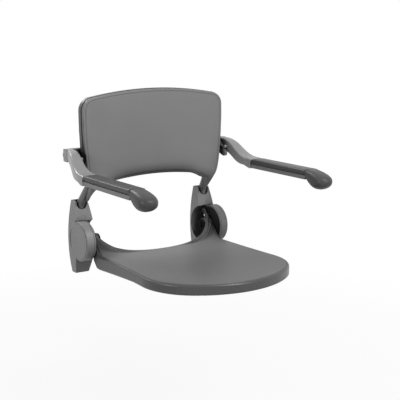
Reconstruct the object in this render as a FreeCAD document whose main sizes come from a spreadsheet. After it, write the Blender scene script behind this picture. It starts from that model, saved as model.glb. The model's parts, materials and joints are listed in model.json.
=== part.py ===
import FreeCAD, Part
import math
import os
import Sketcher

# Fold-down wall seat with backrest and two lift-up arms, in millimetres.
# X runs along the wall, +Z up, the wall is the plane Y = 0 and the room lies at negative Y.
# The origin is on the wall, midway between the four wall screws, at the height of the seat's hinge.
# "Depth" is always the distance from the wall, so a depth of 60 is Y = -60.

os.makedirs("parts", exist_ok=True)
doc = FreeCAD.newDocument("fold_down_wall_seat")
V = FreeCAD.Vector

# Driving dimensions
SIZES = {
    "bracket_spacing": 400.0,
    "bracket_top": 105.0,
    "bracket_bottom": 97.0,
    "bracket_belly": 29.5,
    "bracket_head_half": 18.0,
    "bracket_foot_half": 19.5,
    "bracket_head_depth": 26.0,
    "bracket_lip_depth": 39.0,
    "bracket_lip_height": 53.0,
    "bracket_foot_depth": 23.0,
    "bracket_back_wall": 4.0,
    "wall_screw_height": 60.0,
    "wall_screw_hole": 8.5,
    "screw_well": 13.0,
    "screw_seat_wall": 6.0,
    "cover_back_depth": 28.0,
    "cover_recess": 0.3,
    "seam_gap": 0.3,
    "fit_gap": 0.05,
    "hub_depth": 60.0,
    "hub_radius": 54.0,
    "hub_offset": 2.5,
    "hub_width": 25.5,
    "recess_radius": 55.5,
    "hub_cap_radius": 49.0,
    "hub_cap_thickness": 3.0,
    "axle_radius": 10.0,
    "axle_flange_radius": 16.0,
    "axle_flange_thickness": 3.0,
    "axle_end": 172.0,
    "side_play": 0.3,
    "hinge_screw_grip": 14.0,
    "post_wall": 2.0,
    "plug_head": 3.0,
    "rib_thickness": 3.0,
    "cutout_behind_hub": 50.0,
    "back_pad_thickness": 13.0,
    "back_corner": 34.0,
    "back_waist_height": 215.0,
    "back_dish": 5.0,
    "back_dish_margin": 20.0,
    "back_side_rise": 80.0,
    "back_side_step": 1.0,
    "tail_outer_rise": 40.0,
    "tail_outer_step": 4.0,
    "tail_side_rise": 75.0,
    "tail_side_step": 5.0,
    "tail_inner_rise": 32.0,
    "tail_inner_step": 14.0,
    "tail_bow_rise": 19.0,
    "tail_bow_step": 5.0,
    "arch_end_drop": 10.0,
    "arch_end_step": 62.0,
    "arch_bow_drop": 22.0,
    "arch_bow_step": 34.0,
    "finger_width": 8.0,
    "finger_root": 4.0,
    "finger_reach": 52.0,
    "finger_toe_reach": 44.0,
    "finger_toe_drop": 16.0,
    "finger_bow_reach": 56.0,
    "finger_bow_drop": 11.0,
    "pin_grip": 22.0,
    "arm_pin_head": 4.0,
    "tenon_side": 12.0,
    "tenon_skin": 3.0,
    "tenon_root": 5.0,
    "paddle_flare": 3.0,
    "paddle_neck_run": 95.0,
    "paddle_wide_run": 46.0,
    "paddle_length": 83.0,
    "paddle_drop": 23.0,
    "paddle_crown_run": 35.0,
    "paddle_crown_drop": 6.0,
    "paddle_sole_run": 50.0,
    "paddle_toe_run": 18.0,
    "paddle_toe_rise": 8.0,
    "paddle_heel_run": 80.0,
    "paddle_heel_drop": 10.0,
    "paddle_bow_run": 68.0,
    "paddle_root_drop": 13.0,
    "mount_screw_inset": 8.0,
    "mount_screw_gap": 5.0,
    "mount_screw_depth": 12.0,
    "clamp_screw_inset": 6.0,
    "groove_depth": 3.0,
    "groove_height": 3.5,
    "seat_rim_round": 4.5,
    "seat_sole_round": 5.0,
    "disc_round": 2.0,
    "disc_band": 3.5,
    "disc_groove": 1.0,
    "shell_round": 4.0,
    "neck_round": 5.0,
    "arm_nose_round": 9.0,
    "stop_peg_radius": 5.0,
    "peg_share": 0.76,
    "tenon_length": 40.0,
    "clamp_half": 22.0,
    "clamp_wall": 4.0,
    "clamp_width": 18.0,
    "clamp_height": 298.0,
    "back_screw_grip": 12.0,
    "end_washer": 3.0,
    "end_screw_radius": 4.0,
    "end_screw_grip": 16.0,
    "small_screw_radius": 2.5,
    "bush_wall": 3.0,
    "bush_flange": 2.0,
    "hinge_plate_radius": 48.0,
    "hinge_plate_thickness": 4.0,
    "stop_radius": 38.0,
    "stop_grip": 12.0,
    "low_screw_ahead": 30.0,
    "low_screw_drop": 28.0,
    "high_screw_back": 6.0,
    "high_screw_rise": 25.0,
    "stop_pin_radius": 5.0,
    "fold_angle": 88.0,
    "post_radius": 11.0,
    "post_bend": 40.0,
    "socket_depth": 18.0,
    "socket_bottom": 72.0,
    "post_knee": 94.0,
    "post_lean": 0.727,
    "post_inset": 9.5,
    "post_back_depth": 60.0,
    "post_top": 318.0,
    "notch_half": 15.5,
    "notch_bottom": 82.0,
    "back_top": 406.0,
    "back_corner_height": 389.0,
    "back_half_width": 222.0,
    "back_waist_half": 216.0,
    "back_arch": 173.0,
    "back_thickness": 30.0,
    "back_post_cover": 2.0,
    "tail_tip": 104.0,
    "tail_width": 13.5,
    "tail_offset": 6.5,
    "back_roll": 60.0,
    "pad_inset": 2.5,
    "pad_round": 4.0,
    "seat_flare": 8.8,
    "seat_front": 541.0,
    "seat_top": 31.0,
    "seat_rim_drop": 2.0,
    "seat_edge_thickness": 28.0,
    "seat_heel": 40.0,
    "heel_back": 34.0,
    "heel_rise": 40.0,
    "heel_bend_back": 28.0,
    "heel_bend_rise": 20.0,
    "heel_toe_back": 12.0,
    "heel_toe_rise": 4.0,
    "heel_start": 5.0,
    "heel_run": 195.0,
    "seat_reach_down": 90.0,
    "seat_reach_up": 60.0,
    "outline_reach": 600.0,
    "back_reach": 150.0,
    "overrun": 10.0,
    "seat_outline_reach": 900.0,
    "seat_pad_thickness": 8.0,
    "seat_rim_width": 6.0,
    "seat_wall": 5.0,
    "ramp_foot": 118.0,
    "horn_tip": 42.0,
    "ramp_fillet": 45.0,
    "horn_width": 5.2,
    "cutout_reach": 95.5,
    "cutout_centre": 35.5,
    "rear_bead": 9.0,
    "bay_setback": 110.0,
    "horn_thickness": 14.0,
    "seat_shoulder": 181.0,
    "seat_front_radius": 245.0,
    "arm_pivot_depth": 43.0,
    "arm_pivot_height": 236.0,
    "arm_pivot_radius": 17.0,
    "arm_pin_radius": 6.0,
    "arm_step": 4.0,
    "arm_width": 44.0,
    "arm_root_offset": 36.0,
    "arm_root_width": 20.0,
    "arm_joint_depth": 204.0,
    "arm_base_top": 194.0,
    "arm_base_thickness": 14.0,
    "arm_pad_thickness": 12.0,
    "arm_pad_lip": 3.0,
    "arm_base_end": 441.0,
    "arm_tip": 523.0,
    "arm_nose_bottom": 157.0,
    "mount_width": 70.5,
    "arm_side_gap": 1.5,
}

sheet = doc.addObject("Spreadsheet::Sheet", "Sizes")
for row, (alias, number) in enumerate(SIZES.items(), start=1):
    sheet.set("A%d" % row, alias.replace("_", " "))
    sheet.set("B%d" % row, str(number))
    sheet.setAlias("B%d" % row, alias)
doc.recompute()


class Size:
    """A length that knows its number and the spreadsheet expression it comes from."""

    def __init__(self, value, text):
        self.value = float(value)
        self.text = text

    def _join(self, other, sign, result):
        other = as_size(other)
        return Size(result(self.value, other.value), "(%s %s %s)" % (self.text, sign, other.text))

    def __add__(self, other):
        return self._join(other, "+", lambda a, b: a + b)

    def __sub__(self, other):
        return self._join(other, "-", lambda a, b: a - b)

    def __mul__(self, other):
        return self._join(other, "*", lambda a, b: a * b)

    def __truediv__(self, other):
        return self._join(other, "/", lambda a, b: a / b)

    def __radd__(self, other):
        return as_size(other) + self

    def __rsub__(self, other):
        return as_size(other) - self

    def __rmul__(self, other):
        return as_size(other) * self

    def __rtruediv__(self, other):
        return as_size(other) / self

    def __neg__(self):
        return as_size(-1) * self

    def sine(self):
        return Size(math.sin(math.radians(self.value)), "sin(%s * 1 deg)" % self.text)

    def cosine(self):
        return Size(math.cos(math.radians(self.value)), "cos(%s * 1 deg)" % self.text)

    def root(self):
        return Size(math.sqrt(self.value), "sqrt(%s)" % self.text)


def as_size(item):
    return item if isinstance(item, Size) else Size(item, "(%r)" % float(item))


def cell(alias):
    return Size(sheet.get(alias), "Sizes.%s" % alias)


class Named:
    """Gives every spreadsheet cell as an attribute, so that d.hub_depth is a Size."""

    def __getattr__(self, alias):
        return cell(alias)


d = Named()
half_spacing = d.bracket_spacing / 2
hub_inner = half_spacing + d.hub_offset
hub_outer = hub_inner + d.hub_width
plate_outer = hub_inner - d.side_play
plate_inner = plate_outer - d.hinge_plate_thickness
seat_half_width = plate_inner + d.seat_flare
cutout_half_width = plate_inner - d.horn_width
tail_tip_half_in = half_spacing - d.post_inset - d.tail_offset
arm_root_inner = half_spacing + d.arm_root_offset
arm_inner = arm_root_inner + d.arm_step
arm_outer = arm_inner + d.arm_width
arm_root_outer = arm_root_inner + d.arm_root_width
arm_base_bottom = d.arm_base_top - d.arm_base_thickness
arm_pad_top = d.arm_base_top + d.arm_pad_thickness
mount_outer = arm_root_inner - d.arm_side_gap
mount_inner = mount_outer - d.mount_width
back_rear = d.post_back_depth + d.back_post_cover
back_front = back_rear + d.back_thickness
worked_out = doc.addObject("App::VarSet", "WorkedOut")


def settle(name, size):
    """Keeps a worked-out value under a name, so that the expressions built on it stay short."""
    worked_out.addProperty("App::PropertyFloat", name)
    worked_out.setExpression(name, size.text)
    setattr(worked_out, name, size.value)
    return Size(size.value, "WorkedOut.%s" % name)


SLOPE = math.sqrt(0.5)

# Helpers for bodies, sketches and features
def new_body(label):
    body = doc.addObject("PartDesign::Body", label)
    body.Label = label
    return body


def new_sketch(body, name, plane, offset=0):
    sketch = body.newObject("Sketcher::SketchObject", name)
    support = [item for item in body.Origin.OriginFeatures if item.Role == plane][0]
    sketch.AttachmentSupport = (support, [""])
    sketch.MapMode = "FlatFace"
    sketch.setExpression("AttachmentOffset.Base.z", as_size(offset).text)
    return sketch


def pin_point(sketch, geometry, end, point):
    for kind, size in zip(("DistanceX", "DistanceY"), point):
        number = sketch.addConstraint(Sketcher.Constraint(kind, -1, 1, geometry, end, size.value))
        sketch.setExpression("Constraints[%d]" % number, size.text)


def draw_loop(sketch, items):
    """Closed loop through corners; a corner with a second point is reached by an arc through it."""
    corners = [(as_size(item[0]), as_size(item[1])) for item in items]
    vectors = [V(x.value, y.value, 0) for x, y in corners]
    first = sketch.GeometryCount
    count = len(items)
    ends = []
    for index, item in enumerate(items):
        start, end = vectors[index - 1], vectors[index]
        if len(item) > 2:
            middle = V(as_size(item[2]).value, as_size(item[3]).value, 0)
            runs_back = (middle - start).cross(end - middle).z < 0
            if runs_back:
                start, end = end, start
            sketch.addGeometry(Part.Arc(start, middle, end), False)
            ends.append((2, 1) if runs_back else (1, 2))
        else:
            sketch.addGeometry(Part.LineSegment(start, end), False)
            ends.append((1, 2))
    for index in range(count):
        following = (index + 1) % count
        sketch.addConstraint(
            Sketcher.Constraint(
                "Coincident", first + index, ends[index][1], first + following, ends[following][0]
            )
        )
    for index, item in enumerate(items):
        pin_point(sketch, first + index, ends[index][1], corners[index])
        if len(item) > 2:
            middle = (as_size(item[2]), as_size(item[3]))
            mark = sketch.addGeometry(Part.Point(V(middle[0].value, middle[1].value, 0)), True)
            pin_point(sketch, mark, 1, middle)
            sketch.addConstraint(Sketcher.Constraint("PointOnObject", mark, 1, first + index))


def draw_circle(sketch, x, y, radius):
    x, y, radius = as_size(x), as_size(y), as_size(radius)
    circle = Part.Circle(V(x.value, y.value, 0), V(0, 0, 1), radius.value)
    number = sketch.addGeometry(circle, False)
    pin_point(sketch, number, 3, (x, y))
    rule = sketch.addConstraint(Sketcher.Constraint("Radius", number, radius.value))
    sketch.setExpression("Constraints[%d]" % rule, radius.text)


def extrude(body, kind, sketch, length, both_ways=True, reverse=False):
    feature = body.newObject("PartDesign::" + kind, "%s_%s" % (kind.lower(), sketch.Name))
    feature.Profile = sketch
    feature.SideType = "Symmetric" if both_ways else "One side"
    feature.Reversed = reverse
    feature.setExpression("Length", as_size(length).text)
    sketch.Visibility = False
    return feature


def slab(body, name, low, high, draw, plane="YZ_Plane", kind="Pad"):
    """Material, or a cut, between two distances measured along the plane's normal."""
    low, high = as_size(low), as_size(high)
    sketch = new_sketch(body, name, plane, (low + high) / 2)
    draw(sketch)
    return extrude(body, kind, sketch, high - low)


def side(depth, height):
    """A point of a side view, where the wall is at the right."""
    return (-as_size(depth), as_size(height))


def side_loop(*items):
    """Draws a side view from depth and height pairs, with an optional middle point of an arc."""
    corners = []
    for item in items:
        corner = side(item[0], item[1])
        if len(item) > 2:
            corner = corner + side(item[2], item[3])
        corners.append(corner)
    return lambda sketch: draw_loop(sketch, corners)


def side_circle(depth, height, radius):
    return lambda sketch: draw_circle(sketch, -as_size(depth), height, radius)


def keep_inside(body, name, low, high, draw, plane, reach):
    """Trims the body to an outline by cutting the frame between it and a large rectangle."""
    low, high, reach = as_size(low), as_size(high), as_size(reach)
    sketch = new_sketch(body, name, plane, (low + high) / 2)
    draw(sketch)
    draw_loop(sketch, [(reach, reach), (-reach, reach), (-reach, -reach), (reach, -reach)])
    return extrude(body, "Pocket", sketch, high - low)


def round_edges(body, name, radius, wanted):
    """Fillets the edges of the body's last feature that pass the test."""
    doc.recompute()
    base = body.Tip
    names = [
        "Edge%d" % number
        for number, edge in enumerate(base.Shape.Edges, start=1)
        if wanted(edge)
    ]
    fillet = body.newObject("PartDesign::Fillet", name)
    fillet.Base = (base, names)
    fillet.setExpression("Radius", as_size(radius).text)
    return fillet


# Wall brackets
def bracket_outline(sketch):
    """Front view of the cast bracket: two bulging flanks between a flat head and foot."""
    head = half_spacing + d.bracket_head_half
    foot = half_spacing + d.bracket_foot_half
    head_in = half_spacing - d.bracket_head_half
    foot_in = half_spacing - d.bracket_foot_half
    draw_loop(
        sketch,
        [
            (head_in, d.bracket_top, half_spacing - d.bracket_belly, 0),
            (head, d.bracket_top),
            (foot, -d.bracket_bottom, half_spacing + d.bracket_belly, 0),
            (foot_in, -d.bracket_bottom),
        ],
    )


def make_bracket():
    body = new_body("right_bracket")
    wide = half_spacing + d.bracket_belly + d.overrun
    narrow = half_spacing - d.bracket_belly - d.overrun
    slab(
        body,
        "bracket_side",
        narrow,
        wide,
        side_loop(
            (0, d.bracket_top),
            (0, -d.bracket_bottom),
            (d.bracket_foot_depth, -d.bracket_bottom),
            (d.bracket_lip_depth, -d.bracket_lip_height),
            (d.bracket_lip_depth, d.bracket_lip_height),
            (d.bracket_head_depth, d.bracket_top),
        ),
    )
    front = d.bracket_lip_depth + d.overrun
    keep_inside(body, "bracket_front", -d.overrun, front, bracket_outline, "XZ_Plane", d.outline_reach)
    add_hub_disc(body)
    slab(
        body,
        "hub_recess",
        narrow,
        hub_inner,
        side_circle(d.hub_depth, 0, d.recess_radius),
        kind="Pocket",
    )
    cut_notch(body)
    cut_screw_wells(body)
    slab(
        body,
        "cap_seat",
        hub_outer - d.hub_cap_thickness,
        hub_outer + d.overrun,
        side_circle(d.hub_depth, 0, d.hub_cap_radius + d.seam_gap),
        kind="Pocket",
    )
    slab(
        body,
        "flange_seat",
        hub_outer - d.hub_cap_thickness - d.axle_flange_thickness,
        hub_outer + d.overrun,
        side_circle(d.hub_depth, 0, d.axle_flange_radius + d.fit_gap),
        kind="Pocket",
    )
    slab(
        body,
        "axle_bore",
        narrow,
        hub_outer + d.overrun,
        side_circle(d.hub_depth, 0, d.axle_radius + d.fit_gap),
        kind="Pocket",
    )
    slab(
        body,
        "stop_bore",
        hub_inner - 1,
        hub_inner + d.stop_grip,
        side_circle(*stop_place, d.stop_pin_radius + d.fit_gap),
        kind="Pocket",
    )
    return body


def add_hub_disc(body):
    """Disc about the hinge with rounded rims and a fine groove behind the inner rim."""
    sketch = new_sketch(body, "hub_disc", "XY_Plane")
    sketch.setExpression("AttachmentOffset.Base.y", (-d.hub_depth).text)
    inner = hub_inner
    outer = hub_outer
    high = d.hub_radius
    r = d.disc_round
    off = r * (1 - SLOPE)
    groove = inner + d.disc_band
    draw_loop(
        sketch,
        [
            (inner, 0),
            (outer, 0),
            (outer, high - r),
            (outer - r, high, outer - off, high - off),
            (groove + d.disc_groove, high),
            (groove + d.disc_groove, high - d.disc_groove),
            (groove, high - d.disc_groove),
            (groove, high),
            (inner, high),
        ],
    )
    disc = body.newObject("PartDesign::Revolution", "hub_disc_turned")
    disc.Profile = sketch
    disc.ReferenceAxis = (sketch, ["H_Axis"])
    disc.Angle = 360
    sketch.Visibility = False


def cut_notch(body):
    """The post drops into a round socket and leans out through a U-shaped notch in the head."""
    centre_height = d.notch_bottom + d.notch_half
    left = half_spacing - d.notch_half
    right = half_spacing + d.notch_half

    def notch(sketch):
        above = d.bracket_top + d.overrun
        draw_loop(
            sketch,
            [
                (left, above),
                (left, centre_height),
                (right, centre_height, half_spacing, d.notch_bottom),
                (right, above),
            ],
        )

    slab(body, "notch", d.bracket_back_wall, d.hub_depth, notch, plane="XZ_Plane", kind="Pocket")

    def socket(sketch):
        draw_circle(sketch, half_spacing, -d.socket_depth, d.post_radius + d.fit_gap)

    slab(body, "socket", d.socket_bottom, d.bracket_top + d.overrun, socket, plane="XY_Plane", kind="Pocket")


def cut_screw_wells(body):
    """Through holes for the wall screws, with wells for their heads and seats for the covers."""
    for name, height in (("upper", d.wall_screw_height), ("lower", -d.wall_screw_height)):

        def hole(sketch, height=height):
            draw_circle(sketch, half_spacing, height, d.wall_screw_hole / 2)

        def well(sketch, height=height):
            draw_circle(sketch, half_spacing, height, d.screw_well / 2)

        slab(body, name + "_hole", -d.overrun, d.hub_depth, hole, plane="XZ_Plane", kind="Pocket")
        slab(body, name + "_well", screw_seat, d.hub_depth, well, plane="XZ_Plane", kind="Pocket")


screw_seat = d.bracket_back_wall + d.screw_seat_wall
stop_place = (d.hub_depth, -d.stop_radius)


def make_well_cover(label, sign):
    """Plug that closes the well over a wall screw, cut to the slope of the casting."""
    body = new_body(label)
    height = d.wall_screw_height * sign
    lip = d.bracket_lip_height * sign
    if sign > 0:
        end_depth, end_height = d.bracket_head_depth, d.bracket_top
    else:
        end_depth, end_height = d.bracket_foot_depth, -d.bracket_bottom
    slab(
        body,
        label + "_side",
        half_spacing - d.screw_well,
        half_spacing + d.screw_well,
        side_loop(
            (d.cover_back_depth, lip),
            (d.bracket_lip_depth - d.cover_recess, lip),
            (end_depth - d.cover_recess, end_height),
            (d.cover_back_depth, d.wall_screw_height * sign * 1.4),
        ),
    )

    def rim(sketch):
        draw_circle(sketch, half_spacing, height, d.screw_well / 2 - d.fit_gap)

    keep_inside(body, label + "_rim", -1, d.bracket_lip_depth + 1, rim, "XZ_Plane", d.outline_reach)
    return body


def make_hub_cap():
    body = new_body("right_hub_cap")
    slab(
        body,
        "hub_cap",
        hub_outer - d.hub_cap_thickness,
        hub_outer + 0.6,
        side_circle(d.hub_depth, 0, d.hub_cap_radius),
    )
    return body


def make_axle():
    body = new_body("right_hub_axle")
    seat = hub_outer - d.hub_cap_thickness
    slab(body, "axle_rod", d.axle_end, seat, side_circle(d.hub_depth, 0, d.axle_radius))
    slab(
        body,
        "axle_flange",
        seat - d.axle_flange_thickness,
        seat,
        side_circle(d.hub_depth, 0, d.axle_flange_radius),
    )
    slab(
        body,
        "axle_thread",
        d.axle_end - 1,
        d.axle_end + d.end_screw_grip + 2,
        side_circle(d.hub_depth, 0, d.end_screw_radius + d.fit_gap),
        kind="Pocket",
    )
    return body


def make_stop_pin():
    body = new_body("right_stop_pin")
    slab(
        body,
        "stop_pin",
        plate_inner + 0.4,
        hub_inner + d.stop_grip,
        side_circle(*stop_place, d.stop_pin_radius),
    )
    return body


# Seat hinge
boss_inner = d.axle_end + d.bush_flange + d.side_play
bush_outer_radius = d.axle_radius + d.fit_gap + d.bush_wall
hinge_screws_at = (
    (d.hub_depth + d.low_screw_ahead, -d.low_screw_drop),
    (d.hub_depth - d.high_screw_back, d.high_screw_rise),
)


def around_hub(radius, angle):
    """Depth and height of a point on a circle about the hinge; 0 degrees points into the room."""
    angle = as_size(angle)
    return (d.hub_depth + radius * angle.cosine(), radius * angle.sine())


def cut_stop_slot(body):
    """Curved slot in which the fixed stop pin travels while the seat folds."""
    reach = d.stop_pin_radius + d.seam_gap
    inner = d.stop_radius - reach
    outer = d.stop_radius + reach
    rest = as_size(-90)
    folded = rest - d.fold_angle
    middle = rest - d.fold_angle / 2
    beyond_rest = rest + slot_cap_angle()
    beyond_folded = folded - slot_cap_angle()
    slab(
        body,
        "stop_slot",
        plate_inner - 1,
        plate_outer + 1,
        side_loop(
            around_hub(inner, rest) + around_hub(inner, middle),
            around_hub(outer, rest) + around_hub(d.stop_radius, beyond_rest),
            around_hub(outer, folded) + around_hub(outer, middle),
            around_hub(inner, folded) + around_hub(d.stop_radius, beyond_folded),
        ),
        kind="Pocket",
    )


def slot_cap_angle():
    """Angle that the rounded end of the slot takes on its centre circle."""
    return (d.stop_pin_radius + d.seam_gap) / d.stop_radius * (180 / math.pi)


def make_hinge_plate():
    """Round steel plate on the seat's flank, with the slot for the stop pin."""
    body = new_body("right_hinge_plate")
    slab(
        body,
        "plate",
        plate_inner,
        plate_outer,
        side_circle(d.hub_depth, 0, d.hinge_plate_radius),
    )
    slab(
        body,
        "plate_bore",
        plate_inner - 1,
        plate_outer + 1,
        side_circle(d.hub_depth, 0, bush_outer_radius + d.fit_gap),
        kind="Pocket",
    )
    cut_stop_slot(body)
    for number, place in enumerate(hinge_screws_at, start=1):
        slab(
            body,
            "plate_hole_%d" % number,
            plate_inner - 1,
            plate_outer + 1,
            side_circle(*place, d.small_screw_radius + d.fit_gap),
            kind="Pocket",
        )
    return body


def make_bush():
    body = new_body("right_hub_bush")
    slab(body, "sleeve", boss_inner, plate_outer, side_circle(d.hub_depth, 0, bush_outer_radius))
    slab(
        body,
        "flange",
        boss_inner - d.bush_flange,
        boss_inner,
        side_circle(d.hub_depth, 0, bush_outer_radius + d.bush_wall),
    )
    slab(
        body,
        "sleeve_bore",
        boss_inner - 10,
        plate_outer + 1,
        side_circle(d.hub_depth, 0, d.axle_radius + d.fit_gap),
        kind="Pocket",
    )
    return body


def make_end_washer():
    body = new_body("right_end_washer")
    slab(
        body,
        "washer",
        d.axle_end - d.end_washer,
        d.axle_end,
        side_circle(d.hub_depth, 0, bush_outer_radius + d.bush_wall),
    )
    slab(
        body,
        "washer_hole",
        d.axle_end - 10,
        d.axle_end + 1,
        side_circle(d.hub_depth, 0, d.end_screw_radius + d.fit_gap),
        kind="Pocket",
    )
    return body


def make_end_screw():
    body = new_body("right_end_screw")
    under_head = d.axle_end - d.end_washer
    slab(
        body,
        "end_screw_head",
        under_head - d.end_screw_radius,
        under_head,
        side_circle(d.hub_depth, 0, d.end_screw_radius * 1.6),
    )
    slab(
        body,
        "end_screw_shank",
        under_head,
        d.axle_end + d.end_screw_grip,
        side_circle(d.hub_depth, 0, d.end_screw_radius),
    )
    return body


# Seat
TURN_SINE = math.sin(math.pi / 8)
TURN_COSINE = math.cos(math.pi / 8)


def seat_curve(drop):
    """Side view of the sitting surface, lowered by a distance measured square to it.

    It is flat towards the room and climbs at 45 degrees into the horns beside the hubs.
    """
    drop = as_size(drop)
    centre_depth = d.ramp_foot + d.ramp_fillet * (TURN_SINE / TURN_COSINE)
    centre_height = d.ramp_fillet - d.seat_top
    radius = d.ramp_fillet + drop
    end_depth = centre_depth - radius * SLOPE
    end_height = centre_height - radius * SLOPE
    return {
        "flat": (centre_depth, centre_height - radius),
        "middle": (centre_depth - radius * TURN_SINE, centre_height - radius * TURN_COSINE),
        "ramp": (end_depth, end_height),
        "tip": (end_depth - (d.horn_tip - end_height), d.horn_tip),
        "front": (d.seat_front + d.overrun, centre_height - radius),
    }


def cutout_depth(x, margin):
    """Depth of the elliptical rear edge at a distance x from the middle."""
    share = as_size(x) / (cutout_half_width + margin)
    return d.cutout_centre + (d.cutout_reach + margin) * (1 - share * share).root()


def work_out_seat():
    """Tangent chain of the seat's plan: flank, long side arc, corner arc and front arc."""
    wide = seat_half_width - plate_inner
    start = d.hub_depth + d.hub_radius
    shoulder = d.seat_front - d.seat_shoulder
    run = shoulder - start
    side_radius = settle("SideRadius", (wide * wide + run * run) / (2 * wide))
    cosine = settle("SideCosine", 1 - wide / side_radius)
    sine = settle("SideSine", run / side_radius)
    front_radius = d.seat_front_radius
    front_centre = settle("FrontCentre", d.seat_front - front_radius)
    gap = shoulder - front_centre
    half = seat_half_width
    corner_radius = settle(
        "CornerRadius",
        (front_radius * front_radius - half * half - gap * gap)
        / (2 * (front_radius - half * cosine + gap * sine)),
    )
    corner_x = settle("CornerX", half - corner_radius * cosine)
    corner_depth = settle("CornerDepth", shoulder + corner_radius * sine)
    rise = corner_depth - front_centre
    reach = settle("CornerReach", (corner_x * corner_x + rise * rise).root())
    across = settle("MeetAcross", corner_x / reach)
    along = settle("MeetAlong", rise / reach)
    bisector = settle(
        "BisectorLength",
        ((cosine + across) * (cosine + across) + (along - sine) * (along - sine)).root(),
    )
    return {
        "start": start,
        "side_radius": side_radius,
        "cosine": cosine,
        "sine": sine,
        "corner_radius": corner_radius,
        "corner": (corner_x, corner_depth),
        "meet": (across, along),
        "bisector": ((cosine + across) / bisector, (along - sine) / bisector),
        "half_cosine": settle("HalfCosine", ((1 + cosine) / 2).root()),
        "half_sine": settle("HalfSine", ((1 - cosine) / 2).root()),
    }


def seat_plan(inset):
    """Plan outline of the seat, moved in by an inset, as a drawing function."""
    inset = as_size(inset)
    chain = seat_chain

    def corner_point(direction):
        radius = chain["corner_radius"] - inset
        x = chain["corner"][0] + radius * direction[0]
        return x, chain["corner"][1] + radius * direction[1]

    def draw(sketch):
        flank = plate_inner - inset
        side_centre = plate_inner + chain["side_radius"]
        side_radius = chain["side_radius"] + inset
        side_x = side_centre - side_radius * chain["half_cosine"]
        side_depth = chain["start"] + side_radius * chain["half_sine"]
        shoulder_x, shoulder = corner_point((chain["cosine"], -chain["sine"]))
        elbow_x, elbow = corner_point(chain["bisector"])
        meet_x, meet = corner_point(chain["meet"])
        draw_loop(
            sketch,
            [
                (flank, -cutout_rear),
                (flank, -chain["start"]),
                (shoulder_x, -shoulder, side_x, -side_depth),
                (meet_x, -meet, elbow_x, -elbow),
                (-meet_x, -meet, 0, -(d.seat_front - inset)),
                (-shoulder_x, -shoulder, -elbow_x, -elbow),
                (-flank, -chain["start"], -side_x, -side_depth),
                (-flank, -cutout_rear),
            ],
        )

    return draw


seat_chain = work_out_seat()
seat_reach = (-d.seat_reach_down, d.seat_reach_up)
cutout_rear = d.hub_depth - d.cutout_behind_hub


def cut_rear_edge(body, name, margin):
    """Cuts the deep curved opening at the back of the seat."""
    half = cutout_half_width + margin
    knee = half * 0.67
    elbow = half * 0.89
    room = as_size(40)

    def draw(sketch):
        draw_loop(
            sketch,
            [
                (half, room),
                (half, -d.cutout_centre),
                (knee, -cutout_depth(knee, margin), elbow, -cutout_depth(elbow, margin)),
                (-knee, -cutout_depth(knee, margin), 0, -cutout_depth(0, margin)),
                (-half, -d.cutout_centre, -elbow, -cutout_depth(elbow, margin)),
                (-half, room),
            ],
        )

    slab(body, name, *seat_reach, draw, plane="XY_Plane", kind="Pocket")


def make_seat_blank():
    """Seat shell before the recess for its soft top is cut."""
    body = new_body("seat_shell_blank")
    top = seat_curve(d.seat_rim_drop)
    heel = -(d.seat_top + d.seat_heel)
    sole = -(d.seat_top + d.seat_edge_thickness)
    under = seat_curve(d.horn_thickness)
    slab(
        body,
        "seat_side",
        -seat_half_width - 5,
        seat_half_width + 5,
        side_loop(
            top["front"],
            top["flat"],
            top["ramp"] + top["middle"],
            top["tip"],
            under["tip"],
            (d.ramp_foot - d.heel_back, heel + d.heel_rise),
            (d.ramp_foot - d.heel_bend_back, heel + d.heel_bend_rise),
            (d.ramp_foot - d.heel_toe_back, heel + d.heel_toe_rise),
            (d.ramp_foot + d.heel_start, heel),
            (d.ramp_foot + d.heel_run, sole),
            (top["front"][0], sole),
        ),
    )
    keep_inside(body, "seat_plan", *seat_reach, seat_plan(0), "XY_Plane", d.seat_outline_reach)
    rim = -(d.seat_top + d.seat_rim_drop).value
    flat_start = (d.ramp_foot + d.ramp_fillet).value

    def at_front(edge, height):
        box = edge.BoundBox
        level = abs(box.ZMin - height) < 0.1 and box.ZLength < 0.1
        return level and box.YLength > 1 and -box.YMin > flat_start

    round_edges(body, "rim_round", d.seat_rim_round, lambda edge: at_front(edge, rim))
    round_edges(body, "sole_round", d.seat_sole_round, lambda edge: at_front(edge, sole.value))
    cut_rear_edge(body, "seat_rear", 0)
    hollow_underside(body)
    slab(
        body,
        "seat_boss",
        boss_inner,
        plate_inner,
        side_circle(d.hub_depth, 0, bush_outer_radius + d.bush_wall * 1.5),
    )
    slab(
        body,
        "left_seat_boss",
        -plate_inner,
        -boss_inner,
        side_circle(d.hub_depth, 0, bush_outer_radius + d.bush_wall * 1.5),
    )
    slab(
        body,
        "seat_bore",
        -seat_half_width - 5,
        seat_half_width + 5,
        side_circle(d.hub_depth, 0, bush_outer_radius + d.fit_gap),
        kind="Pocket",
    )
    for number, place in enumerate(hinge_screws_at, start=1):
        for name, low, high in (
            ("right", plate_inner - d.hinge_screw_grip, plate_inner + 1),
            ("left", -plate_inner - 1, -plate_inner + d.hinge_screw_grip),
        ):
            slab(
                body,
                "%s_thread_%d" % (name, number),
                low,
                high,
                side_circle(*place, d.small_screw_radius + d.fit_gap),
                kind="Pocket",
            )
    return body


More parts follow.
